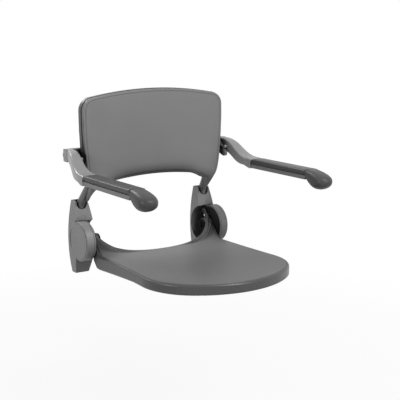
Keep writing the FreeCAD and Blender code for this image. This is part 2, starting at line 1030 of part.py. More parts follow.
def hollow_underside(body):
    """Hollows the shell from below and leaves lengthwise and crosswise ribs."""
    floor = -(d.seat_top + d.seat_pad_thickness + d.seat_wall)
    rear = d.cutout_centre + d.cutout_reach + d.rear_bead
    front = d.seat_front - 2 * d.rear_bead
    half = seat_half_width - 2 * d.rear_bead
    bays = 6
    rib = d.rib_thickness
    pitch = (half * 2 + rib) / bays

    def draw(sketch):
        for column in range(bays):
            left = -half + pitch * column
            right = left + pitch - rib
            outermost = column in (0, bays - 1)
            cut = d.bay_setback if outermost else d.rear_bead * 2
            middle = (rear + front - cut) / 2
            for low, high in ((rear, middle - rib / 2), (middle + rib / 2, front - cut)):
                draw_loop(sketch, [(left, -low), (right, -low), (right, -high), (left, -high)])

    slab(body, "underside_bays", seat_reach[0], floor, draw, plane="XY_Plane", kind="Pocket")


def make_pad_body(label, low, high, inset, rear_margin):
    """Layer that follows the sitting surface between two drops and keeps to an inset outline."""
    body = new_body(label)
    top = seat_curve(low)
    bottom = seat_curve(high)
    slab(
        body,
        label + "_side",
        -seat_half_width,
        seat_half_width,
        side_loop(
            top["front"],
            top["flat"],
            top["ramp"] + top["middle"],
            top["tip"],
            bottom["tip"],
            bottom["ramp"],
            bottom["flat"] + bottom["middle"],
            bottom["front"],
        ),
    )
    keep_inside(body, label + "_plan", *seat_reach, seat_plan(inset), "XY_Plane", d.seat_outline_reach)
    cut_rear_edge(body, label + "_rear", rear_margin)
    return body


def make_seat():
    blank = make_seat_blank()
    tool = make_pad_body(
        "seat_recess",
        as_size(-20),
        d.seat_pad_thickness,
        d.seat_rim_width - d.seam_gap,
        d.rear_bead - d.seam_gap,
    )
    shell = doc.addObject("Part::Cut", "seat_shell")
    shell.Base = blank
    shell.Tool = tool
    shell.Label = "seat_shell"
    pad = make_pad_body(
        "seat_pad", 0, d.seat_pad_thickness, d.seat_rim_width, d.rear_bead
    )
    slab(
        pad,
        "pad_hub_relief",
        -plate_inner,
        plate_inner,
        side_circle(d.hub_depth, 0, bush_outer_radius + d.seam_gap),
        kind="Pocket",
    )
    return [shell, pad]


# Posts and backrest
def lean_cosine():
    return 1 / (1 + d.post_lean * d.post_lean).root()


def post_points():
    """Corners of the post's centre line before they are bent, from the socket upwards."""
    shift = d.post_back_depth - d.socket_depth
    upper = d.post_knee + shift / d.post_lean
    inner_x = half_spacing - d.post_inset
    return [
        (half_spacing, d.socket_depth, d.socket_bottom + d.seam_gap),
        (half_spacing, d.socket_depth, d.post_knee),
        (inner_x, d.post_back_depth, upper),
        (inner_x, d.post_back_depth, d.post_top),
    ]


def bent_bar(radius, beyond=0):
    """Round bar along the post's centre line with its two bends, longer at the top if asked."""
    corners = [V(x.value, -depth.value, z.value) for x, depth, z in post_points()]
    corners[-1] += V(0, 0, beyond)
    bend = d.post_bend.value
    edges = []
    start = corners[0]
    for before, corner, after in zip(corners, corners[1:], corners[2:]):
        inward = (corner - before).normalize()
        outward = (after - corner).normalize()
        reach = bend * math.tan(inward.getAngle(outward) / 2)
        arc_start = corner - inward * reach
        arc_end = corner + outward * reach
        bisector = (outward - inward).normalize()
        middle = corner + bisector * (bend / math.cos(inward.getAngle(outward) / 2) - bend)
        edges.append(Part.makeLine(start, arc_start))
        edges.append(Part.Arc(arc_start, middle, arc_end).toShape())
        start = arc_end
    edges.append(Part.makeLine(start, corners[-1]))
    path = Part.Wire(edges)
    ring = Part.Wire(Part.makeCircle(radius, corners[0], V(0, 0, 1)))
    return path.makePipeShell([ring], True, True)


def add_shape(label, shape):
    feature = doc.addObject("Part::Feature", label)
    feature.Shape = shape
    feature.Label = label
    return feature


def make_post():
    outer = bent_bar(d.post_radius.value)
    inner = bent_bar(d.post_radius.value - d.post_wall.value)
    return add_shape("right_post", outer.cut(inner))


def make_post_plug():
    body = new_body("right_post_plug")
    x, depth, top = post_points()[-1]

    def disc(radius):
        return lambda sketch: draw_circle(sketch, x, -depth, radius)

    slab(body, "plug_head", top, top + d.plug_head, disc(d.post_radius), plane="XY_Plane")
    stem = disc(d.post_radius - d.post_wall - d.fit_gap)
    slab(body, "plug_stem", top - 10, top, stem, plane="XY_Plane")
    return body


def back_curve(inset):
    """Side view of the backrest's front, moved back by an inset; it ends along the post."""
    inset = as_size(inset)
    cosine = lean_cosine()
    sine = d.post_lean * cosine
    centre_depth = back_front - d.back_roll
    offset = d.post_radius + d.seam_gap * 2 + d.back_pad_thickness - d.back_roll
    centre_height = d.post_knee + ((centre_depth - d.socket_depth) * cosine - offset) / sine
    radius = d.back_roll - inset
    end_depth = centre_depth + radius * cosine
    end_height = centre_height - radius * sine
    half_angle_cosine = ((1 + cosine) / 2).root()
    half_angle_sine = ((1 - cosine) / 2).root()
    return {
        "top": (back_front - inset, d.back_top + d.overrun),
        "straight": (back_front - inset, centre_height),
        "middle": (
            centre_depth + radius * half_angle_cosine,
            centre_height - radius * half_angle_sine,
        ),
        "bend": (end_depth, end_height),
        "tip": (end_depth - (end_height - d.tail_tip) * d.post_lean, d.tail_tip),
    }


def back_outline(inset):
    """Front view of the backrest: arched top, slightly waisted sides, two tails, arched bottom."""
    inset = as_size(inset)

    def draw(sketch):
        half = d.back_half_width - inset
        top = d.back_top - inset
        shoulder = d.back_corner_height - inset * 0.5
        corner = d.back_corner
        waist = d.back_waist_half - inset
        tip_out = (tail_tip_half_in + d.tail_width) - inset
        tip_in = tail_tip_half_in + inset
        low = d.tail_tip - 1
        arch = d.back_arch + inset
        right = [
            (half, shoulder - corner, half - corner * 0.3, shoulder - corner * 0.32),
            (waist, d.back_waist_height, half - d.back_side_step, d.back_waist_height + d.back_side_rise),
            (
                tip_out + d.tail_outer_step,
                d.tail_tip + d.tail_outer_rise,
                waist - d.tail_side_step,
                d.tail_tip + d.tail_side_rise,
            ),
            (tip_out, low),
            (tip_in, low),
            (
                tip_in - d.tail_inner_step,
                d.tail_tip + d.tail_inner_rise,
                tip_in - d.tail_bow_step,
                d.tail_tip + d.tail_bow_rise,
            ),
            (
                tip_in - d.arch_end_step,
                arch - d.arch_end_drop,
                tip_in - d.arch_bow_step,
                arch - d.arch_bow_drop,
            ),
        ]
        left = []
        for number in range(len(right) - 1, 0, -1):
            corner_point = right[number - 1][:2]
            middle_point = right[number][2:]
            mirrored = (-corner_point[0], corner_point[1])
            if middle_point:
                mirrored = mirrored + (-middle_point[0], middle_point[1])
            left.append(mirrored)
        last = right[-1]
        loop = [(half - corner, shoulder, 0, top)]
        loop += right
        loop += [(-last[0], last[1], 0, arch)]
        loop += left
        loop += [(-(half - corner), shoulder, -(half - corner * 0.3), shoulder - corner * 0.32)]
        draw_loop(sketch, loop)

    return draw


def make_back_shell():
    """Rear shell of the backrest, with two channels in which the posts lie."""
    blank = new_body("backrest_shell_blank")
    seam = back_curve(d.back_pad_thickness)
    slab(
        blank,
        "shell_side",
        -d.back_half_width,
        d.back_half_width,
        side_loop(
            seam["top"],
            (back_rear, d.back_top + d.overrun),
            (back_rear, seam["bend"][1]),
            seam["bend"],
            seam["straight"] + seam["middle"],
        ),
    )
    keep_inside(blank, "shell_outline", 0, d.back_reach, back_outline(0), "XZ_Plane", d.outline_reach)
    rear = back_rear.value
    round_edges(
        blank,
        "shell_round",
        d.shell_round,
        lambda edge: abs(edge.BoundBox.YMin + rear) < 0.1
        and edge.BoundBox.YLength < 0.1
        and edge.BoundBox.ZMax > seam["bend"][1].value + 5,
    )
    end = back_rear + d.back_screw_grip + 0.5
    places = back_screw_places()
    cut_back_screws(blank, "shell_thread", back_rear - 1, end, places)
    across = [(-x, height, head) for x, height, head in places]
    cut_back_screws(blank, "left_shell_thread", back_rear - 1, end, across)
    return blank


def make_backrest():
    blank = make_back_shell()
    channel = bent_bar(d.post_radius.value + d.seam_gap.value, d.plug_head.value + 1)
    both = add_shape("post_channels", channel.fuse(channel.mirror(V(0, 0, 0), V(1, 0, 0))))
    shell = doc.addObject("Part::Cut", "backrest_shell")
    shell.Base = blank
    shell.Tool = both
    shell.Label = "backrest_shell"
    pad = new_body("backrest_pad")
    front = back_curve(0)
    seam = back_curve(d.back_pad_thickness)
    slab(
        pad,
        "pad_side",
        -d.back_half_width,
        d.back_half_width,
        side_loop(
            front["top"],
            seam["top"],
            seam["straight"],
            seam["bend"] + seam["middle"],
            seam["tip"],
            front["tip"],
            front["bend"],
            front["straight"] + front["middle"],
        ),
    )
    keep_inside(pad, "pad_outline", 0, d.back_reach, back_outline(d.pad_inset), "XZ_Plane", d.outline_reach)
    face = back_front.value
    round_edges(
        pad,
        "pad_round",
        d.pad_round,
        lambda edge: abs(edge.BoundBox.YMin + face) < 0.1 and edge.BoundBox.YLength < 0.1
        and edge.BoundBox.ZLength > 4,
    )
    hollow_depth = d.back_dish
    half = d.back_half_width - d.back_dish_margin

    def dish(sketch):
        draw_loop(
            sketch,
            [
                (half, -(back_front + 2)),
                (-half, -(back_front + 2), 0, -(back_front - hollow_depth)),
            ],
        )

    slab(pad, "pad_dish", d.tail_tip, d.back_top + d.overrun, dish, plane="XY_Plane", kind="Pocket")
    return [shell, pad]


# Arms
def make_arm_mount():
    """Cast block behind the backrest: clamps the post, holds the arm's pin and stops the arm."""
    body = new_body("right_arm_mount")
    z = d.arm_pivot_height
    depth = d.arm_pivot_depth
    r = d.arm_pivot_radius
    slab(
        body,
        "mount_block",
        mount_inner,
        mount_outer,
        side_loop(
            (back_rear, z + r),
            (back_rear, z - r),
            (depth, z - r),
            (depth, z + r, depth - r, z),
        ),
    )
    slab(
        body,
        "stop_finger",
        mount_outer - d.finger_width,
        mount_outer,
        side_loop(
            (depth, z + r),
            (depth, z - r),
            (depth + d.finger_toe_reach, z - r - d.finger_toe_drop),
            finger_slope()[1] + (depth + d.finger_bow_reach, z - r - d.finger_bow_drop),
            finger_slope()[0],
        ),
    )
    x, post_depth, top = post_points()[-1]

    def channel(sketch):
        draw_circle(sketch, x, -post_depth, d.post_radius + d.fit_gap)

    reach = r + d.finger_toe_drop
    slab(body, "post_channel", z - reach, z + reach, channel, plane="XY_Plane", kind="Pocket")
    slab(
        body,
        "pin_bore",
        mount_outer - d.pin_grip,
        mount_outer + 1,
        side_circle(depth, z, d.arm_pin_radius + d.fit_gap),
        kind="Pocket",
    )
    places = back_screw_places()[:4]
    cut_back_screws(body, "mount_hole", 0, back_rear + 1, places)
    for number, (x, height, under_head) in enumerate(places, start=1):
        slab(
            body,
            "mount_well_%d" % number,
            0,
            under_head,
            front_circle(x, height, d.small_screw_radius * 1.8 + d.seam_gap),
            plane="XZ_Plane",
            kind="Pocket",
        )
    return body


def make_arm_pin():
    body = new_body("right_arm_pin")
    place = (d.arm_pivot_depth, d.arm_pivot_height)
    rod_end = arm_root_outer - d.arm_pin_head
    slab(
        body,
        "pin_rod",
        mount_outer - d.pin_grip + 1,
        rod_end,
        side_circle(*place, d.arm_pin_radius),
    )
    slab(
        body,
        "pin_head",
        rod_end,
        rod_end + d.arm_pin_head - 0.5,
        side_circle(*place, d.arm_pin_radius + 3),
    )
    return body


# The neck as it was drawn, row by row: distance from the pin, fall of the underside, fall of the
# top, step of the inner side and flare of the outer side. The last row is the full amount of each.
NECK_SHAPE = (
    (0, 0, 0, 0, 0),
    (20, 0, 0, 0, 0),
    (39, 3.5, 2, 0.5, 5),
    (61, 12, 10, 2, 11),
    (83, 26, 25, 4, 17),
    (107, 34, 40, 4, 23),
    (133, 37, 47, 4, 27),
    (161, 39, 50, 4, 28),
)


def neck_stations():
    """Depth, lower and upper height, inner and outer side of the neck's cross-sections."""
    low = d.arm_pivot_height - d.arm_pivot_radius
    high = d.arm_pivot_height + d.arm_pivot_radius
    full = (
        d.arm_joint_depth - d.arm_pivot_depth,
        low - arm_base_bottom,
        high - (arm_pad_top - d.arm_pad_lip),
        d.arm_step,
        arm_outer - arm_root_outer,
    )
    stations = []
    for row in NECK_SHAPE:
        ahead, under_fall, top_fall, step, flare = [
            amount * (part / whole) for part, whole, amount in zip(row, NECK_SHAPE[-1], full)
        ]
        stations.append(
            (
                d.arm_pivot_depth + ahead,
                low - under_fall,
                high - top_fall,
                arm_root_inner + step,
                arm_root_outer + flare,
            )
        )
    return stations


def draw_rounded(sketch, left, right, low, high, radius):
    """Rectangle with rounded corners."""
    off = radius * (1 - SLOPE)
    draw_loop(
        sketch,
        [
            (right - radius, low),
            (right, low + radius, right - off, low + off),
            (right, high - radius),
            (right - radius, high, right - off, high - off),
            (left + radius, high),
            (left, high - radius, left + off, high - off),
            (left, low + radius),
            (left + radius, low, left + off, low + off),
        ],
    )


def make_arm_neck():
    """Swan-necked link from the pin down to the arm rest."""
    body = new_body("right_arm_neck")
    z = d.arm_pivot_height
    depth = d.arm_pivot_depth
    r = d.arm_pivot_radius
    joint = d.arm_joint_depth
    inner = arm_root_inner
    slab(
        body,
        "neck_root",
        inner,
        arm_root_outer,
        side_loop((depth, z + r, depth - r, z), (depth + r, z + r), (depth + r, z - r), (depth, z - r)),
    )

    def plan(sketch):
        draw_loop(
            sketch,
            [
                (inner, -(depth - r - 1)),
                (inner, -(depth + r + 1)),
                (arm_root_outer, -(depth + r + 1)),
                (arm_root_outer, -depth),
                (
                    arm_root_outer - r,
                    -(depth - r - 1),
                    arm_root_outer - r * (1 - SLOPE),
                    -(depth - (r + 1) * SLOPE),
                ),
            ],
        )

    keep_inside(body, "neck_root_plan", z - 2 * r, z + 2 * r, plan, "XY_Plane", d.outline_reach)
    sections = []
    for number, (at, low, high, left, right) in enumerate(neck_stations(), start=1):
        sketch = new_sketch(body, "neck_section_%d" % number, "XZ_Plane", at)
        draw_rounded(sketch, left, right, low, high, d.neck_round)
        sketch.Visibility = False
        sections.append(sketch)
    loft = body.newObject("PartDesign::AdditiveLoft", "neck_loft")
    loft.Profile = sections[0]
    loft.Sections = sections[1:]
    place = (depth, z)
    slab(
        body,
        "neck_bore",
        inner - 1,
        arm_root_outer + 1,
        side_circle(*place, d.arm_pin_radius + d.fit_gap),
        kind="Pocket",
    )
    slab(
        body,
        "head_bore",
        arm_root_outer - d.arm_pin_head,
        arm_outer + 1,
        side_circle(*place, d.arm_pin_radius + 3 + d.fit_gap),
        kind="Pocket",
    )
    slab(
        body,
        "stop_peg",
        mount_outer - d.finger_width + 0.5,
        inner + 2,
        side_circle(*peg_place(), d.stop_peg_radius),
    )
    slab(
        body,
        "tenon",
        tenon_inner,
        tenon_outer,
        side_loop(
            (joint - d.tenon_root, tenon_low),
            (joint + d.tenon_length, tenon_low),
            (joint + d.tenon_length, tenon_high),
            (joint - d.tenon_root, tenon_high),
        ),
    )
    for number, place in enumerate(arm_screw_depths(), start=1):
        cut_arm_screw(body, "tenon_thread_%d" % number, place, tenon_high + 1)
    return body


tenon_inner = arm_inner + d.tenon_side
tenon_outer = arm_outer - d.tenon_side
tenon_low = arm_base_bottom + d.tenon_skin
tenon_high = d.arm_base_top - d.tenon_skin


def peg_place():
    """Centre of the stop peg, a seam above the sloping top of the mount's finger."""
    start, end = finger_slope()
    run = end[0] - start[0]
    fall = start[1] - end[1]
    length = (run * run + fall * fall).root()
    off = d.stop_peg_radius + d.seam_gap
    return (
        start[0] + run * d.peg_share + off * fall / length,
        start[1] - fall * d.peg_share + off * run / length,
    )


def finger_slope():
    """Upper and lower end of the sloping face on which the arm's peg comes to rest."""
    return (
        (back_rear + d.finger_root, d.arm_pivot_height + d.arm_pivot_radius * 0.4),
        (d.arm_pivot_depth + d.finger_reach, d.arm_pivot_height - d.arm_pivot_radius),
    )


def arm_screw_depths():
    return (d.arm_joint_depth + d.tenon_length * 0.3, d.arm_joint_depth + d.tenon_length * 0.7)


def cut_arm_screw(body, name, depth, high):
    middle = (arm_inner + arm_outer) / 2

    def hole(sketch):
        draw_circle(sketch, middle, -depth, d.small_screw_radius + d.fit_gap)

    slab(body, name, arm_base_bottom - d.overrun, high, hole, plane="XY_Plane", kind="Pocket")


def arm_plan(inset):
    inset = as_size(inset)

    def draw(sketch):
        middle = (arm_inner + arm_outer) / 2
        half = (arm_outer - arm_inner) / 2 - inset
        spoon = half + d.paddle_flare
        neck = d.arm_tip - d.paddle_neck_run
        wide = d.arm_tip - d.paddle_wide_run
        draw_loop(
            sketch,
            [
                (middle - half, -(d.arm_joint_depth + inset)),
                (middle - half, -neck),
                (middle - spoon, -wide),
                (middle + spoon, -wide, middle, -(d.arm_tip - inset)),
                (middle + half, -neck),
                (middle + half, -(d.arm_joint_depth + inset)),
            ],
        )

    return draw


def make_arm_base():
    """Rigid beam under the arm pad, with a groove along each flank."""
    body = new_body("right_arm_base")
    joint = d.arm_joint_depth
    middle = (arm_inner + arm_outer) / 2
    half = (arm_outer - arm_inner) / 2 - 1
    end = d.arm_base_end
    slab(
        body,
        "base_side",
        middle - half,
        middle + half,
        side_loop(
            (joint, d.arm_base_top),
            (joint, arm_base_bottom),
            (end, arm_base_bottom),
            (end, d.arm_base_top),
        ),
    )
    for name, low, high in (
        ("inner_groove", middle - half - 1, middle - half + d.groove_depth),
        ("outer_groove", middle + half - d.groove_depth, middle + half + 1),
    ):
        slab(
            body,
            name,
            low,
            high,
            side_loop(
                (joint - 1, d.arm_base_top + 1),
                (joint - 1, d.arm_base_top - d.groove_height),
                (end + 1, d.arm_base_top - d.groove_height),
                (end + 1, d.arm_base_top + 1),
            ),
            kind="Pocket",
        )
    slab(
        body,
        "mortise",
        tenon_inner - d.fit_gap,
        tenon_outer + d.fit_gap,
        side_loop(
            (joint - 1, tenon_low - d.fit_gap),
            (joint + d.tenon_length + 0.5, tenon_low - d.fit_gap),
            (joint + d.tenon_length + 0.5, tenon_high + d.fit_gap),
            (joint - 1, tenon_high + d.fit_gap),
        ),
        kind="Pocket",
    )
    for number, place in enumerate(arm_screw_depths(), start=1):
        cut_arm_screw(body, "base_hole_%d" % number, place, tenon_low)
    return body


def make_arm_screws():
    """The two screws that hold the beam on the neck's tenon, driven from below."""
    body = new_body("right_arm_screws")
    middle = (arm_inner + arm_outer) / 2
    for number, depth in enumerate(arm_screw_depths(), start=1):
        for name, low, high, radius in (
            ("head", arm_base_bottom - 2.5, arm_base_bottom, d.small_screw_radius * 1.8),
            ("shank", arm_base_bottom, tenon_high - 0.5, d.small_screw_radius),
        ):

            def disc(sketch, depth=depth, radius=radius):
                draw_circle(sketch, middle, -depth, radius)

            slab(body, "arm_screw_%s_%d" % (name, number), low, high, disc, plane="XY_Plane")
    return body


def make_arm_pad():
    """Soft arm rest that swells at the front into a drooping paddle."""
    body = new_body("right_arm_pad")
    joint = d.arm_joint_depth
    top = arm_pad_top
    low = d.arm_base_top
    end = d.arm_base_end + d.seam_gap
    tip = d.arm_tip
    nose = d.arm_nose_bottom
    slab(
        body,
        "arm_pad_side",
        arm_inner - 2 * d.paddle_flare,
        arm_outer + 2 * d.paddle_flare,
        side_loop(
            (joint, low),
            (joint, top),
            (tip - d.paddle_length, top),
            (tip, top - d.paddle_drop, tip - d.paddle_crown_run, top - d.paddle_crown_drop),
            (tip - d.paddle_sole_run, nose, tip - d.paddle_toe_run, nose + d.paddle_toe_rise),
            (
                tip - d.paddle_heel_run,
                low - d.paddle_heel_drop,
                tip - d.paddle_bow_run,
                nose + d.paddle_heel_drop,
            ),
            (end, low - d.paddle_root_drop),
            (end, low),
        ),
    )
    keep_inside(
        body, "arm_pad_plan", nose - d.overrun, top + d.overrun, arm_plan(0), "XY_Plane", d.outline_reach
    )
    middle = (arm_inner + arm_outer) / 2
    wide = (arm_outer - arm_inner) / 2 + d.paddle_flare
    crown = d.arm_nose_round
    belly = crown * 2

    def section(sketch):
        draw_loop(
            sketch,
            [
                (middle - wide, nose + belly),
                (
                    middle - wide + belly,
                    nose,
                    middle - wide + belly * (1 - SLOPE),
                    nose + belly * (1 - SLOPE),
                ),
                (middle + wide - belly, nose),
                (
                    middle + wide,
                    nose + belly,
                    middle + wide - belly * (1 - SLOPE),
                    nose + belly * (1 - SLOPE),
                ),
                (middle + wide, top - crown),
                (
                    middle + wide - crown,
                    top,
                    middle + wide - crown * (1 - SLOPE),
                    top - crown * (1 - SLOPE),
                ),
                (middle - wide + crown, top),
                (
                    middle - wide,
                    top - crown,
                    middle - wide + crown * (1 - SLOPE),
                    top - crown * (1 - SLOPE),
                ),
            ],
        )

    keep_inside(body, "arm_pad_section", end, d.arm_tip + d.overrun, section, "XZ_Plane", d.outline_reach)
    return body


# Fasteners of the backrest
def back_screw_places():
    """Position across and up, and the depth under the head, of each screw into the right half."""
    post_x = half_spacing - d.post_inset
    spread = d.arm_pivot_radius * 0.56
    outer = post_x + d.post_radius + d.mount_screw_gap
    inner = mount_inner + d.mount_screw_inset
    places = [
        (x, d.arm_pivot_height + rise, back_rear - d.mount_screw_depth)
        for x in (inner, outer)
        for rise in (-spread, spread)
    ]
    clamp_reach = d.clamp_half - d.clamp_screw_inset
    for x in (post_x - clamp_reach, post_x + clamp_reach):
        places.append((x, d.clamp_height, clamp_rear()))
    return places


def clamp_rear():
    return d.post_back_depth - d.post_radius - d.clamp_wall


def front_circle(x, height, radius):
    return lambda sketch: draw_circle(sketch, x, height, radius)


def cut_back_screws(body, name, low, high, places):
    for number, (x, height, _) in enumerate(places, start=1):
        slab(
            body,
            "%s_%d" % (name, number),
            low,
            high,
            front_circle(x, height, d.small_screw_radius + d.fit_gap),
            plane="XZ_Plane",
            kind="Pocket",
        )


def make_back_clamp():
    """Saddle that holds the upper end of the post against the rear shell."""
    body = new_body("right_back_clamp")
    post_x, post_depth, _ = post_points()[-1]
    rear = clamp_rear()
    half = d.clamp_half
    front = back_rear

    def plan(sketch):
        draw_loop(
            sketch,
            [
                (post_x + half, -front),
                (post_x - half, -front),
                (post_x - half, -(rear + 6)),
                (post_x - half + 8, -rear, post_x - half + 2.3, -(rear + 1.8)),
                (post_x + half - 8, -rear),
                (post_x + half, -(rear + 6), post_x + half - 2.3, -(rear + 1.8)),
            ],
        )

    low = d.clamp_height - d.clamp_width / 2
    high = d.clamp_height + d.clamp_width / 2
    slab(body, "clamp", low, high, plan, plane="XY_Plane")

    def channel(sketch):
        draw_circle(sketch, post_x, -post_depth, d.post_radius + d.fit_gap)

    slab(body, "clamp_channel", low - 1, high + 1, channel, plane="XY_Plane", kind="Pocket")
    cut_back_screws(body, "clamp_hole", rear - 1, front + 1, back_screw_places()[4:])
    return body


def make_back_screws():
    """All the screws that go through the mounts and clamps into the right half of the shell."""
    body = new_body("right_back_screws")
    for number, (x, height, under_head) in enumerate(back_screw_places(), start=1):
        head = d.small_screw_radius * 1.8
        for name, low, high, radius in (
            ("head", under_head - 2.5, under_head, head),
            ("shank", under_head, back_rear + d.back_screw_grip, d.small_screw_radius),
        ):
            slab(
                body,
                "back_screw_%s_%d" % (name, number),
                low,
                high,
                front_circle(x, height, radius),
                plane="XZ_Plane",
            )
    return body


def make_hinge_screws():
    """Screws that hold the hinge plate on the seat's horn."""
    body = new_body("right_hinge_screws")
    for number, place in enumerate(hinge_screws_at, start=1):
        slab(
            body,
            "hinge_screw_%d" % number,
            plate_inner - d.hinge_screw_grip + 1,
            plate_outer,
            side_circle(*place, d.small_screw_radius),
        )
    return body


def gather(label, items):
    """One piece made of several separate solids."""
    group = doc.addObject("Part::Compound", label)
    group.Links = items
    group.Label = label
    return group


def with_left(item):
    return [item, mirrored(item)]


def find_problems():
    problems = []
    for item in doc.Objects:
        if "Invalid" in item.State or "Error" in item.State:
            problems.append("%s is in error" % item.Label)
    return problems


def mirrored(item):
    """The left-hand copy of a right-hand piece."""
    copy = doc.addObject("Part::Mirroring", item.Label.replace("right", "left"))
    copy.Source = item
    copy.Normal = V(1, 0, 0)
    copy.Label = item.Label.replace("right", "left")
    return copy


def main():
    right = [
        make_bracket(),
        make_hub_cap(),
        make_axle(),
        make_stop_pin(),
        make_hinge_plate(),
        make_bush(),
        make_end_washer(),
        make_end_screw(),
        make_post(),
        make_post_plug(),
        make_back_clamp(),
        make_arm_mount(),
        make_arm_pin(),
        make_arm_neck(),
        make_arm_base(),
        make_arm_pad(),
        make_arm_screws(),
    ]
    covers = with_left(make_well_cover("upper_cover", 1)) + with_left(
        make_well_cover("lower_cover", -1)
    )
    pieces = make_seat() + make_backrest()
    pieces.append(gather("well_covers", covers))
    pieces.append(gather("backrest_screws", with_left(make_back_screws())))
    pieces.append(gather("hinge_screws", with_left(make_hinge_screws())))
    pieces += right + [mirrored(item) for item in right]
    doc.recompute()
    problems = find_problems()
    for piece in pieces:
        if piece.Shape.isNull() or not piece.Shape.isValid():
            problems.append("%s has no valid shape" % piece.Label)
    if problems:
        raise RuntimeError("; ".join(problems))
    for piece in pieces:
        piece.Shape.exportStep("parts/%s.step" % piece.Label)


main()
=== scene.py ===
import bpy
import math
import numpy as np
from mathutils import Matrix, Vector
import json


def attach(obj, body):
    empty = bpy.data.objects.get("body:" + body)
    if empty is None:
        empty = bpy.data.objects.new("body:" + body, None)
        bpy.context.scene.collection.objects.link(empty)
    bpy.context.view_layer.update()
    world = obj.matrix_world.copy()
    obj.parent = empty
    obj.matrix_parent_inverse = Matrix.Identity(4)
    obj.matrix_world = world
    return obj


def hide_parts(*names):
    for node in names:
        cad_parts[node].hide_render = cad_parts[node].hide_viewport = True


# Fold-down wall seat: looks of the foam pads, the moulded shells and the coated metal.
# X runs along the wall, +Z is up and the room is at negative Y. The pads are drawn in
# millimetres, in which "depth" is the distance from the wall, and made in metres.

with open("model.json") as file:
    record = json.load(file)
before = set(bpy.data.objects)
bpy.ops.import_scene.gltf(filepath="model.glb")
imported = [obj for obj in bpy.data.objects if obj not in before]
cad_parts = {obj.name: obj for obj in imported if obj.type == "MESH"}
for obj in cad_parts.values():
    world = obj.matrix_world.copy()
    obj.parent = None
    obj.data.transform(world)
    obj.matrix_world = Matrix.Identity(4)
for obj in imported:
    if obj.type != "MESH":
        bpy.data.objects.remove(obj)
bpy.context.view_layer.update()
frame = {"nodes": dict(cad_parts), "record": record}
MM = 0.001


# Shader maths
class Signal:
    """One output of a shader node. Arithmetic on it adds Math nodes."""

    def __init__(self, graph, output):
        self.graph = graph
        self.output = output

    def _math(self, operation, *values):
        return self.graph.node("ShaderNodeMath", {"operation": operation}, values)

    def __add__(self, other):
        return self._math("ADD", self, other)

    __radd__ = __add__

    def __sub__(self, other):
        return self._math("SUBTRACT", self, other)

    def __rsub__(self, other):
        return self._math("SUBTRACT", other, self)

    def __mul__(self, other):
        return self._math("MULTIPLY", self, other)

    __rmul__ = __mul__

    def at_most(self, high):
        return self._math("MINIMUM", self, high)

    def between(self, low, high):
        """0 below low, 1 above high and a straight rise in between."""
        return self.graph.node("ShaderNodeMapRange", {}, {0: self, 1: low, 2: high})


class Graph:
    """Nodes of one material or of the world."""

    def __init__(self, owner):
        self.owner = owner
        owner.use_nodes = True
        self.tree = owner.node_tree
        self.tree.nodes.clear()

    def node(self, kind, settings=None, inputs=(), output=0):
        """Adds a node: its settings first, then a value or a link for each named or listed socket."""
        made = self.tree.nodes.new(kind)
        for name, value in (settings or {}).items():
            setattr(made, name, value)
        pairs = inputs.items() if isinstance(inputs, dict) else enumerate(inputs)
        for key, value in pairs:
            if isinstance(value, Signal):
                self.tree.links.new(value.output, made.inputs[key])
            else:
                made.inputs[key].default_value = value
        return Signal(self, made.outputs[output]) if len(made.outputs) else None

    def seen(self):
        """1 where the camera, a reflection or a clear piece looks, 0 for the light itself."""
        kinds = ("Is Camera Ray", "Is Glossy Ray", "Is Transmission Ray")
        camera, glossy, through = [self.node("ShaderNodeLightPath", output=kind) for kind in kinds]
        return (camera + glossy + through).at_most(1.0)


class Finish(Graph):
    """A material in the making."""

    SOFT_SAMPLES = 6

    def __init__(self, name):
        super().__init__(bpy.data.materials.new(name))

    def place(self):
        return self.node("ShaderNodeTexCoord", output="Object")

    def noise(self, scale, detail=2.0, roughness=0.5, distortion=0.0, stretch=(1, 1, 1)):
        inputs = {
            "Vector": self.node("ShaderNodeMapping", {}, {"Vector": self.place(), "Scale": stretch}),
            "Scale": scale,
            "Detail": detail,
            "Roughness": roughness,
            "Distortion": distortion,
        }
        return self.node("ShaderNodeTexNoise", {}, inputs)

    def cells(self, scale, feature="F1"):
        inputs = {"Vector": self.place(), "Scale": scale}
        return self.node("ShaderNodeTexVoronoi", {"feature": feature}, inputs)

    def mix(self, factor, first, second):
        inputs = {"Factor": factor, 6: first, 7: second}
        return self.node("ShaderNodeMix", {"data_type": "RGBA"}, inputs, output=2)

    def clouded(self, cloud, dull, bright):
        """Colour that drifts between two greys in faint clouds."""
        return self.mix(cloud.between(0.3, 0.7), dull, bright)

    def bump(self, height, strength, distance, normal=None):
        inputs = {"Height": height, "Strength": strength, "Distance": distance}
        if normal:
            inputs["Normal"] = normal
        return self.node("ShaderNodeBump", {}, inputs)

    def rounded(self, radius):
        """Normal that turns softly over sharp edges."""
        return self.node("ShaderNodeBevel", {"samples": self.SOFT_SAMPLES}, {"Radius": radius})

    def edges(self, radius):
        """1 along outer edges, 0 on open faces."""
        soft = self.rounded(radius)
        sharp = self.node("ShaderNodeNewGeometry", output="Normal")
        dot = self.node("ShaderNodeVectorMath", {"operation": "DOT_PRODUCT"}, (soft, sharp), "Value")
        return (1 - dot).between(0.02, 0.22)

    def open_air(self, distance, low=0.3, high=0.92):
        """0 deep in a corner or recess, 1 on open faces."""
        settings = {"samples": self.SOFT_SAMPLES}
        reach = self.node("ShaderNodeAmbientOcclusion", settings, {"Distance": distance}, "AO")
        return reach.between(low, high)

    def finish(self, base, roughness, normal, **fixed):
        inputs = {"Base Color": base, "Roughness": roughness, "Normal": normal}
        inputs.update(fixed)
        shader = self.node("ShaderNodeBsdfPrincipled", {}, inputs)
        self.node("ShaderNodeOutputMaterial", {}, {"Surface": shader})
        return self.owner


